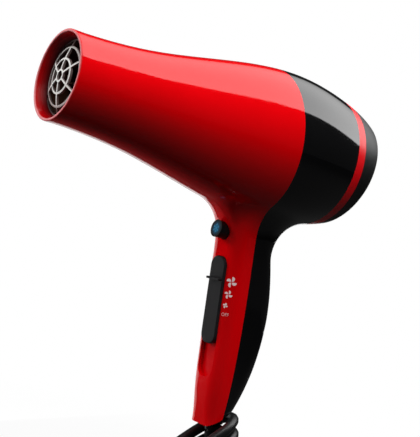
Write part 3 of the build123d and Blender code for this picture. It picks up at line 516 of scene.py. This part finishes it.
# Pad printing leaves pinholes and thin spots of about 0.3 mm
thin = shader(
    pale_ink, "ShaderNodeTexNoise", {"Scale": 3300.0, "Detail": 2.0}, {"Vector": place.outputs["Object"]}
)
tint = shader(pale_ink, "ShaderNodeValToRGB", None, {"Fac": thin.outputs["Fac"]})
two_tones(tint, "E9CFCF", "F6E6E6")
ink = shader(
    pale_ink,
    "ShaderNodeBsdfPrincipled",
    {"Roughness": 0.45, "IOR": 1.5},
    {"Base Color": tint.outputs["Color"]},
)
pale_ink.node_tree.links.new(ink.outputs["BSDF"], output.inputs["Surface"])

ink_lift = 0.00002
ink_thickness = 0.00005
print_from = 0.002
grip_lean = radians(6.5)
grip_up = Vector((-sin(grip_lean), 0, cos(grip_lean)))


def print_on(mark, name, spot, facing, carrier, body, ink):
    """Lays a flat mark on a node's skin, gives it the ink's thickness and puts its place into its mesh."""
    out = Vector(facing).normalized()
    across = grip_up.cross(out).normalized()
    upward = out.cross(across)
    mark.name = name
    mark.data.name = name
    bpy.ops.object.mode_set(mode="EDIT")
    bpy.ops.mesh.select_all(action="SELECT")
    bpy.ops.mesh.quads_convert_to_tris()
    bpy.ops.mesh.subdivide(number_cuts=3)
    bpy.ops.object.mode_set(mode="OBJECT")
    start = Vector(spot) + out * print_from
    mark.matrix_world = Matrix.Translation(start) @ Matrix((across, upward, out)).transposed().to_4x4()
    wrap = mark.modifiers.new("wrap", "SHRINKWRAP")
    wrap.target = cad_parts[carrier]
    wrap.wrap_method = "PROJECT"
    wrap.use_project_z = True
    wrap.use_negative_direction = True
    wrap.use_positive_direction = False
    wrap.offset = ink_lift
    bpy.ops.object.modifier_apply(modifier="wrap")
    layer = mark.modifiers.new("layer", "SOLIDIFY")
    layer.thickness = ink_thickness
    layer.offset = 1.0
    bpy.ops.object.modifier_apply(modifier="layer")
    bpy.ops.object.transform_apply(location=True, rotation=True, scale=True)
    mark.data.materials.clear()
    mark.data.materials.append(ink)
    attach(mark, body)


front_lean = 0.11


def corner_facing(turn):
    """Outward direction on the grip's rounded corner, turned from the front towards the camera's side."""
    return (-cos(radians(turn)), -sin(radians(turn)), -front_lean * cos(radians(turn)))


# Name, size, place and turn of each fan
fan_marks = (
    ("fan_mark_high", 0.0062, (-0.01870, -0.01129, 0.02100), 41.1),
    ("fan_mark_middle", 0.0049, (-0.01833, -0.01069, 0.01365), 36.0),
    ("fan_mark_low", 0.0031, (-0.01809, -0.00992, 0.00711), 29.8),
)
# A blade is a disc beside the hub, cut straight along its leading edge; these are shares of the mark's size
blade_radius = 0.22
blade_aside = 0.07
blade_out = 0.275
leading_edge = 0.012
for name, size, spot, turn in fan_marks:
    bpy.ops.object.select_all(action="DESELECT")
    bpy.ops.mesh.primitive_circle_add(
        vertices=32,
        radius=blade_radius * size,
        fill_type="NGON",
        location=(blade_aside * size, blade_out * size, 0),
    )
    mark = bpy.context.object
    bpy.ops.object.transform_apply(location=True, rotation=True, scale=True)
    bpy.ops.object.mode_set(mode="EDIT")
    bpy.ops.mesh.select_all(action="SELECT")
    bpy.ops.mesh.bisect(plane_co=(leading_edge * size, 0, 0), plane_no=(1.0, 0, 0), clear_inner=True)
    bpy.ops.mesh.select_all(action="SELECT")
    # Three more blades, a quarter turn apart
    bpy.ops.mesh.spin(steps=3, dupli=True, angle=1.5 * pi, center=(0, 0, 0), axis=(0, 0, 1))
    bpy.ops.object.mode_set(mode="OBJECT")
    print_on(mark, name, spot, corner_facing(turn), "front_shell", "housing", pale_ink)

word_spot = (-0.01715, -0.01046, 0.00183)
word_facing = corner_facing(33.0)
bpy.ops.object.select_all(action="DESELECT")
bpy.ops.object.text_add()
word = bpy.context.object
word.data.body = "OFF"
word.data.size = 0.0027
word.data.offset = -0.00003
word.data.align_x = "CENTER"
word.data.align_y = "CENTER"
bpy.ops.object.convert(target="MESH")
print_on(bpy.context.object, "off_mark", word_spot, word_facing, "front_shell", "housing", pale_ink)

# Cool button
# A black flared neck with a round blue face set into it; pressing it turns the heater off for cold air.
# Both have a satin skin; the face's colour darkens towards its rim.

button_abs, output = new_material("black ABS, satin")
place = shader(button_abs, "ShaderNodeTexCoord")
# Mould grain of about 0.4 mm leaves it satin
grain = shader(
    button_abs, "ShaderNodeTexNoise", {"Scale": 2500.0, "Detail": 2.0}, {"Vector": place.outputs["Object"]}
)
tint = shader(button_abs, "ShaderNodeValToRGB", None, {"Fac": grain.outputs["Fac"]})
two_tones(tint, "0E0F10", "171819")
plastic = shader(
    button_abs,
    "ShaderNodeBsdfPrincipled",
    {"Roughness": 0.5, "IOR": 1.4},
    {"Base Color": tint.outputs["Color"]},
)
button_abs.node_tree.links.new(plastic.outputs["BSDF"], output.inputs["Surface"])
dress(button_abs, "cool_button")

face_low, face_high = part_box("cool_button_face")
face_middle = (Vector(face_low) + Vector(face_high)) / 2
face_radius = 0.0041
deepest_blue = 0.2 * face_radius
blue_abs, output = new_material("blue ABS, satin")
place = shader(blue_abs, "ShaderNodeTexCoord")
# The blue shows most in the middle and goes nearly black at the rim
outwards = shader(
    blue_abs,
    "ShaderNodeVectorMath",
    {1: face_middle},
    {0: place.outputs["Object"]},
    operation="DISTANCE",
)
edge = shader(
    blue_abs,
    "ShaderNodeMapRange",
    {"From Min": deepest_blue, "From Max": face_radius, "To Min": 1.0, "To Max": 0.0},
    {"Value": outwards.outputs["Value"]},
)
tint = shader(blue_abs, "ShaderNodeValToRGB", None, {"Fac": edge.outputs["Result"]})
two_tones(tint, "0B1D28", "136088")
plastic = shader(
    blue_abs,
    "ShaderNodeBsdfPrincipled",
    {"Roughness": 0.5, "IOR": 1.4},
    {"Base Color": tint.outputs["Color"]},
)
blue_abs.node_tree.links.new(plastic.outputs["BSDF"], output.inputs["Surface"])
dress(blue_abs, "cool_button_face")

blue_ink, output = new_material("light blue printing ink")
place = shader(blue_ink, "ShaderNodeTexCoord")
# Thin spots of about 0.3 mm, as in the pale ink
thin = shader(
    blue_ink, "ShaderNodeTexNoise", {"Scale": 3300.0, "Detail": 2.0}, {"Vector": place.outputs["Object"]}
)
tint = shader(blue_ink, "ShaderNodeValToRGB", None, {"Fac": thin.outputs["Fac"]})
two_tones(tint, "2B86B4", "3FA0CC")
ink = shader(
    blue_ink,
    "ShaderNodeBsdfPrincipled",
    {"Roughness": 0.5, "IOR": 1.45},
    {"Base Color": tint.outputs["Color"]},
)
blue_ink.node_tree.links.new(ink.outputs["BSDF"], output.inputs["Surface"])

# The snow mark has six stems, each with two twigs from just past its middle
stem_length = 0.0029
bar_width = 0.00034
twig_length = 0.36 * stem_length
twig_start = 0.52
twig_lean = 50
face_tilt = radians(3)
face_out = Vector((-cos(face_tilt), 0, sin(face_tilt)))
bars = []
for arm in range(6):
    bearing = radians(60 * arm)
    stem = Vector((-sin(bearing), cos(bearing), 0)) * stem_length
    bars.append((stem * 0.5, bearing, stem_length))
    for lean in (-twig_lean, twig_lean):
        side = bearing + radians(lean)
        twig = Vector((-sin(side), cos(side), 0)) * twig_length
        bars.append((stem * twig_start + twig * 0.5, side, twig_length))
snow_bars = []
for middle, bearing, length in bars:
    bpy.ops.object.select_all(action="DESELECT")
    bpy.ops.mesh.primitive_plane_add(size=1, location=middle, rotation=(0, 0, bearing))
    bpy.context.object.scale = (bar_width, length, 1)
    bpy.ops.object.transform_apply(location=True, rotation=True, scale=True)
    snow_bars.append(bpy.context.object)
for bar in snow_bars:
    bar.select_set(True)
bpy.ops.object.join()
print_on(bpy.context.object, "snow_mark", face_middle, face_out, "cool_button_face", "button", blue_ink)

# Cord
# A round mains lead of about 1.8 m in black rubbery PVC, folded into a hank under the slanted foot.
# It leaves a ribbed strain relief, drops below the hank, climbs it turn by turn and ends in a flat plug.

cord_radius = 0.0031
foot = Vector((0.0005, 0, -0.0555))
foot_slope = radians(39)
grip_down = -grip_up
sideways = Vector((0, 1, 0))
out_of_foot = Vector((sin(foot_slope), 0, -cos(foot_slope)))
hank_roll = radians(16)
along_hank = Vector((-cos(foot_slope), 0, -sin(foot_slope)))
across_hank = sideways * cos(hank_roll) + out_of_foot * sin(hank_roll)
down_hank = out_of_foot * cos(hank_roll) - sideways * sin(hank_roll)

# The hank's sizes are in millimetres
hank_near = 13.0
hank_far = hank_near + 110.0
bend = 19.0
pitch = 6.9
turns = 5
top_level = 7.6
bottom_level = top_level + (turns - 0.5) * pitch
hank_lean = 0.6


def in_hank(along, across, down):
    """Point in millimetres from the middle of the foot; lower levels lie further along the runs."""
    shifted = along + hank_lean * (down - top_level)
    return foot + (along_hank * shifted + across_hank * across + down_hank * down) / 1000


# A turn's control points lie just outside its bends, at the corners of a ten-sided ring
corner = 36
ring = bend / cos(radians(corner / 2))
lead_in = 0.325 * bend
relief_length = 0.024
straight_out = 0.020
relief_end = foot + grip_down * relief_length
# Straight out of the relief and under the hank to its far end
route = [
    relief_end,
    relief_end + grip_down * straight_out,
    in_hank(36.7, 12, 46.5),
    in_hank(77.6, 16.5, 45),
    in_hank(105.6, bend, bottom_level),
    in_hank(hank_far - lead_in, bend, bottom_level),
]
# Round the far bend, back one half pitch higher, and round the near bend
for turn in range(turns):
    level = bottom_level - turn * pitch
    raised = level - pitch / 2
    for step in range(5):
        angle = radians(corner / 2 + corner * step)
        route.append(in_hank(hank_far + ring * sin(angle), ring * cos(angle), level))
    route.append(in_hank(hank_far - lead_in, -bend, level))
    route.append(in_hank(hank_near + lead_in, -bend, raised))
    for step in range(5):
        angle = radians(180 + corner / 2 + corner * step)
        route.append(in_hank(hank_near + ring * sin(angle), ring * cos(angle), raised))
    if turn < turns - 1:
        route.append(in_hank(hank_near + lead_in, bend, raised))
        route.append(in_hank(hank_far - lead_in, bend, level - pitch))
# Off the top turn and aside to the plug
plug_level = top_level + 4
route += [
    in_hank(hank_near + 18, bend, top_level),
    in_hank(hank_near + 34, bend + 14.5, plug_level),
    in_hank(hank_near + 58.2, bend + 15, plug_level),
]

cord_line = bpy.data.curves.new("supply_cord", "CURVE")
cord_line.dimensions = "3D"
cord_line.bevel_depth = cord_radius
cord_line.bevel_resolution = 4
cord_line.resolution_u = 6
cord_line.use_fill_caps = True
spline = cord_line.splines.new("NURBS")
spline.points.add(len(route) - 1)
for point, spot in zip(spline.points, route):
    point.co = (*spot, 1.0)
spline.order_u = 3
spline.use_endpoint_u = True
supply_cord = bpy.data.objects.new("supply_cord", cord_line)
bpy.context.scene.collection.objects.link(supply_cord)

black_pvc, output = new_material("black PVC, extruded")
place = shader(black_pvc, "ShaderNodeTexCoord")
# Talc and handling leave dull patches of about 12 mm
dust = shader(
    black_pvc, "ShaderNodeTexNoise", {"Scale": 80.0, "Detail": 3.0}, {"Vector": place.outputs["Object"]}
)
gloss = shader(
    black_pvc, "ShaderNodeMapRange", {"To Min": 0.28, "To Max": 0.4}, {"Value": dust.outputs["Fac"]}
)
tint = shader(black_pvc, "ShaderNodeValToRGB", None, {"Fac": dust.outputs["Fac"]})
two_tones(tint, "101011", "1A1A1B")
pvc = shader(
    black_pvc,
    "ShaderNodeBsdfPrincipled",
    {"IOR": 1.52},
    {"Base Color": tint.outputs["Color"], "Roughness": gloss.outputs["Result"]},
)
black_pvc.node_tree.links.new(pvc.outputs["BSDF"], output.inputs["Surface"])
cord_line.materials.append(black_pvc)
dress(black_pvc, "strain_relief", "plug_body")
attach(supply_cord, "housing")
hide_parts("cord_lead", "cord_hank")

# Cord tie
# A strap of black woven nylon drawn tight round the strands of the hank.
# Its weave shows as fine ribs along the strap.

tie_place = 88.0
tie_width = 0.006
tie_thickness = 0.0012
tie_slack = 0.00025
tie_rounding = 0.00035
# The outermost strands where the strap lies, across and down the hank in millimetres
strap_strands = ((-19.0, 10.3), (-19.0, 37.1), (15.1, 45.5), (19.0, 33.2), (19.0, 11.9))
strands = []
for across, down in strap_strands:
    bpy.ops.object.select_all(action="DESELECT")
    bpy.ops.mesh.primitive_cylinder_add(
        vertices=40, radius=cord_radius + tie_slack, depth=tie_width, location=(across / 1000, down / 1000, 0)
    )
    strands.append(bpy.context.object)
for strand in strands:
    strand.select_set(True)
bpy.ops.object.join()
cord_strap = bpy.context.object
cord_strap.name = "cord_strap"
bpy.ops.object.transform_apply(location=True, rotation=True, scale=True)
bpy.ops.object.mode_set(mode="EDIT")
bpy.ops.mesh.select_all(action="SELECT")
bpy.ops.mesh.convex_hull()
bpy.ops.mesh.select_mode(type="FACE")
bpy.ops.mesh.select_all(action="DESELECT")
bpy.ops.object.mode_set(mode="OBJECT")
# A strap round the strands has open ends
for face in cord_strap.data.polygons:
    face.select = abs(face.normal.z) > 0.9
bpy.ops.object.mode_set(mode="EDIT")
bpy.ops.mesh.delete(type="FACE")
bpy.ops.mesh.select_mode(type="VERT")
bpy.ops.mesh.select_all(action="SELECT")
bpy.ops.mesh.tris_convert_to_quads()
bpy.ops.object.mode_set(mode="OBJECT")
wall = cord_strap.modifiers.new("wall", "SOLIDIFY")
wall.thickness = tie_thickness
wall.offset = 1.0
bpy.ops.object.modifier_apply(modifier="wall")
edges = cord_strap.modifiers.new("edges", "BEVEL")
edges.width = tie_rounding
edges.segments = 3
edges.limit_method = "ANGLE"
bpy.ops.object.modifier_apply(modifier="edges")
bpy.ops.object.shade_smooth_by_angle(angle=radians(40))
cord_strap.matrix_world = Matrix.Translation(foot + along_hank * tie_place / 1000) @ Matrix(
    (across_hank, down_hank, along_hank)
).transposed().to_4x4()
bpy.ops.object.transform_apply(location=True, rotation=True, scale=True)

strap_nylon, output = new_material("black nylon webbing")
place = shader(strap_nylon, "ShaderNodeTexCoord")
# Ribs 0.7 mm apart along the strap, turned with the hank
turned = shader(
    strap_nylon, "ShaderNodeMapping", {"Rotation": (0, foot_slope, 0)}, {"Vector": place.outputs["Object"]}
)
ribs = shader(
    strap_nylon,
    "ShaderNodeTexWave",
    {"Scale": 450.0, "Distortion": 1.0},
    {"Vector": turned.outputs["Vector"]},
)
dents = shader(
    strap_nylon, "ShaderNodeBump", {"Strength": 0.5, "Distance": 0.0002}, {"Height": ribs.outputs["Fac"]}
)
tint = shader(strap_nylon, "ShaderNodeValToRGB", None, {"Fac": ribs.outputs["Fac"]})
two_tones(tint, "111112", "232324")
webbing = shader(
    strap_nylon,
    "ShaderNodeBsdfPrincipled",
    {"Roughness": 0.7, "IOR": 1.53, "Sheen Weight": 0.2},
    {"Base Color": tint.outputs["Color"], "Normal": dents.outputs["Normal"]},
)
strap_nylon.node_tree.links.new(webbing.outputs["BSDF"], output.inputs["Surface"])
cord_strap.data.materials.clear()
cord_strap.data.materials.append(strap_nylon)
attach(cord_strap, "housing")
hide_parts("cord_tie")

# Plug pins
# Nickel-plated brass, turned and a little dulled by sockets.
# The plating is warm in colour and rubbed unevenly.

plated_brass, output = new_material("nickel-plated brass")
place = shader(plated_brass, "ShaderNodeTexCoord")
# Rub marks of about 1 mm
rubs = shader(
    plated_brass, "ShaderNodeTexNoise", {"Scale": 1000.0, "Detail": 3.0}, {"Vector": place.outputs["Object"]}
)
gloss = shader(
    plated_brass, "ShaderNodeMapRange", {"To Min": 0.18, "To Max": 0.32}, {"Value": rubs.outputs["Fac"]}
)
tint = shader(plated_brass, "ShaderNodeValToRGB", None, {"Fac": rubs.outputs["Fac"]})
two_tones(tint, "C2B8A0", "D2CBB8")
metal = shader(
    plated_brass,
    "ShaderNodeBsdfPrincipled",
    {"Metallic": 1.0},
    {"Base Color": tint.outputs["Color"], "Roughness": gloss.outputs["Result"]},
)
plated_brass.node_tree.links.new(metal.outputs["BSDF"], output.inputs["Surface"])
dress(plated_brass, "plug_pins")

# Inner leads
# Heat-proof wires in a red-brown silicone jacket, from the cord to the switch and on to the heater.
# Silicone is dull and slightly dusty.

silicone, output = new_material("red-brown silicone jacket")
place = shader(silicone, "ShaderNodeTexCoord")
# Dust of about 2 mm
dust = shader(
    silicone, "ShaderNodeTexNoise", {"Scale": 500.0, "Detail": 3.0}, {"Vector": place.outputs["Object"]}
)
tint = shader(silicone, "ShaderNodeValToRGB", None, {"Fac": dust.outputs["Fac"]})
two_tones(tint, "7E2A22", "93392F")
jacket = shader(
    silicone,
    "ShaderNodeBsdfPrincipled",
    {"Roughness": 0.6, "IOR": 1.41},
    {"Base Color": tint.outputs["Color"]},
)
silicone.node_tree.links.new(jacket.outputs["BSDF"], output.inputs["Surface"])
dress(silicone, "supply_leads", "heater_leads")

# Studio
# A pale floor below the cord, a room that is white behind and dim in front, and a glowing sheet overhead
# whose front edge draws the band on the barrel. Dark cards on the floor keep the underside deep in colour,
# and four softboxes that mirrors don't show fill in the rest.

floor_size = 8.0
floor_gap = 0.001
bpy.ops.object.select_all(action="DESELECT")
bpy.ops.mesh.primitive_plane_add(size=floor_size, location=(0, 0, cad_box[0].z - floor_gap))
floor = bpy.context.object
floor.name = "floor"
pale_floor, output = new_material("pale floor")
rays = shader(pale_floor, "ShaderNodeLightPath")
place = shader(pale_floor, "ShaderNodeTexCoord")
matt = shader(pale_floor, "ShaderNodeBsdfDiffuse", {"Color": linear("EDEDED")})
lit = shader(pale_floor, "ShaderNodeEmission", {"Strength": 1.0})
mirrored = shader(
    pale_floor,
    "ShaderNodeMath",
    None,
    {0: rays.outputs["Is Glossy Ray"], 1: rays.outputs["Is Transmission Ray"]},
    operation="MAXIMUM",
)
looked_at = shader(
    pale_floor,
    "ShaderNodeMath",
    None,
    {0: rays.outputs["Is Camera Ray"], 1: mirrored.outputs["Value"]},
    operation="MAXIMUM",
)
# The floor melts into the white behind it: it keeps a shadow near the object and none far away
melt_start = 0.15
melt_end = 0.9
away = shader(pale_floor, "ShaderNodeVectorMath", None, {0: place.outputs["Object"]}, operation="LENGTH")
melt = shader(
    pale_floor,
    "ShaderNodeMapRange",
    {"From Min": melt_start, "From Max": melt_end, "To Min": 0.8, "To Max": 1.0},
    {"Value": away.outputs["Value"]},
)
share = shader(
    pale_floor,
    "ShaderNodeMath",
    None,
    {0: looked_at.outputs["Value"], 1: melt.outputs["Result"]},
    operation="MULTIPLY",
)
both = shader(
    pale_floor,
    "ShaderNodeMixShader",
    None,
    {"Fac": share.outputs["Value"], 1: matt.outputs["BSDF"], 2: lit.outputs["Emission"]},
)
pale_floor.node_tree.links.new(both.outputs["Shader"], output.inputs["Surface"])
floor.data.materials.append(pale_floor)

black_card, output = new_material("black card")
# Matt and dark enough that the plastic above it keeps its own colour
card = shader(black_card, "ShaderNodeBsdfDiffuse", {"Color": linear("2A2A2A")})
black_card.node_tree.links.new(card.outputs["BSDF"], output.inputs["Surface"])
# One lies in front, and one to the left keeps the grip's front from mirroring white.
# Name, size, place, turn and level of each
cards = (
    ("front_card", 8.0, (1.7, -3.16), 30, 0.0006),
    ("side_card", 4.0, (-2.464, 0.450), 26.5, 0.0004),
)
for name, size, (aside, back), turn, below in cards:
    bpy.ops.object.select_all(action="DESELECT")
    bpy.ops.mesh.primitive_plane_add(
        size=size, location=(aside, back, cad_box[0].z - below), rotation=(0, 0, radians(turn))
    )
    laid = bpy.context.object
    laid.name = name
    laid.visible_camera = False
    laid.visible_shadow = False
    laid.data.materials.append(black_card)

world = bpy.data.worlds.new("studio")
bpy.context.scene.world = world
world.use_nodes = True
world.node_tree.nodes.clear()
output = world.node_tree.nodes.new("ShaderNodeOutputWorld")
rays = shader(world, "ShaderNodeLightPath")
place = shader(world, "ShaderNodeTexCoord")
# Mirrors show a white backdrop behind the object, low and to the left, and a dim room elsewhere
backdrop_towards = Vector((-0.15, 0.82, -0.55))
backdrop_rim = 0.62
backdrop_full = 0.80
room_level = 0.02
facing = shader(
    world,
    "ShaderNodeVectorMath",
    {1: backdrop_towards},
    {0: place.outputs["Generated"]},
    operation="DOT_PRODUCT",
)
backdrop = shader(
    world,
    "ShaderNodeMapRange",
    {"From Min": backdrop_rim, "From Max": backdrop_full, "To Min": room_level, "To Max": 1.0},
    {"Value": facing.outputs["Value"]},
)
mirrored = shader(
    world,
    "ShaderNodeMath",
    None,
    {0: rays.outputs["Is Glossy Ray"], 1: rays.outputs["Is Transmission Ray"]},
    operation="MAXIMUM",
)
# What isn't a mirror gets a faint even light
ambient_level = 0.155
ambient = shader(
    world,
    "ShaderNodeMapRange",
    {"From Min": 0.0, "From Max": 1.0, "To Min": ambient_level, "To Max": 0.0},
    {"Value": mirrored.outputs["Value"]},
)
around = shader(
    world,
    "ShaderNodeMath",
    None,
    {0: ambient.outputs["Result"], 1: backdrop.outputs["Result"]},
    operation="MAXIMUM",
)
strength = shader(
    world,
    "ShaderNodeMath",
    None,
    {0: rays.outputs["Is Camera Ray"], 1: around.outputs["Value"]},
    operation="MAXIMUM",
)
room = shader(world, "ShaderNodeBackground", {"Color": (1, 1, 1, 1)}, {"Strength": strength.outputs["Value"]})
world.node_tree.links.new(room.outputs["Background"], output.inputs["Surface"])

# The overhead sheet glows most along its front edge and fades towards its far one
sheet_middle = (0.55, 0.05, 0.605)
sheet_length = 1.5
sheet_depth = 0.81
front_edge = sheet_middle[1] - sheet_depth / 2
far_edge = sheet_middle[1] + sheet_depth / 2
front_glow = 3.6
far_glow = 0.5
bpy.ops.object.select_all(action="DESELECT")
bpy.ops.mesh.primitive_plane_add(size=1, location=sheet_middle)
overhead = bpy.context.object
overhead.name = "overhead"
overhead.scale = (sheet_length, sheet_depth, 1)
bpy.ops.object.transform_apply(location=True, rotation=True, scale=True)
overhead.visible_camera = False
overhead.visible_shadow = False
glowing_sheet, output = new_material("glowing diffuser sheet")
place = shader(glowing_sheet, "ShaderNodeTexCoord")
depth = shader(glowing_sheet, "ShaderNodeSeparateXYZ", None, {"Vector": place.outputs["Object"]})
fade = shader(
    glowing_sheet,
    "ShaderNodeMapRange",
    {"From Min": front_edge, "From Max": far_edge, "To Min": front_glow, "To Max": far_glow},
    {"Value": depth.outputs["Y"]},
)
glow = shader(glowing_sheet, "ShaderNodeEmission", None, {"Strength": fade.outputs["Result"]})
glowing_sheet.node_tree.links.new(glow.outputs["Emission"], output.inputs["Surface"])
overhead.data.materials.append(glowing_sheet)

# Name, radiance, place, aim, width and height of each softbox
softboxes = (
    ("back_low", 12.0, (-0.05, 0.42, -0.15), (-0.06, 0.0, 0.06), 0.6, 0.08),
    ("front_key", 5.6, (-0.35, -0.60, 1.07), (-0.05, 0.0, 0.08), 1.0, 1.0),
    ("left_fill", 10.5, (-0.80, 0.72, 0.36), (-0.1, 0.0, 0.05), 0.5, 0.42),
    ("rear_fill", 5.0, (1.0, 0.25, 0.6), (0.05, 0.0, 0.1), 0.6, 0.6),
)
for name, radiance, spot, aim, width, height in softboxes:
    lamp = bpy.data.lights.new(name, "AREA")
    lamp.shape = "RECTANGLE"
    lamp.size = width
    lamp.size_y = height
    lamp.energy = radiance * pi * width * height
    light = bpy.data.objects.new(name, lamp)
    light.location = spot
    light.rotation_euler = (Vector(aim) - Vector(spot)).to_track_quat("-Z", "Y").to_euler()
    bpy.context.scene.collection.objects.link(light)
    light.visible_glossy = False

# The photograph's camera stands off the outlet, a little below the barrel
lens = bpy.data.cameras.new("camera")
lens.sensor_fit = "VERTICAL"
lens.sensor_height = 36.0
lens.lens = 89.66
camera = bpy.data.objects.new("camera", lens)
right = Vector((0.796, -0.557, 0.236))
upward = Vector((-0.217, 0.101, 0.971))
backward = Vector((-0.565, -0.824, -0.041))
stand = Matrix.Translation((-0.39025, -0.51710, 0.02822))
camera.matrix_world = stand @ Matrix((right, upward, backward)).transposed().to_4x4()
bpy.context.scene.collection.objects.link(camera)
bpy.context.scene.camera = camera
bpy.context.scene.view_settings.view_transform = "Standard"
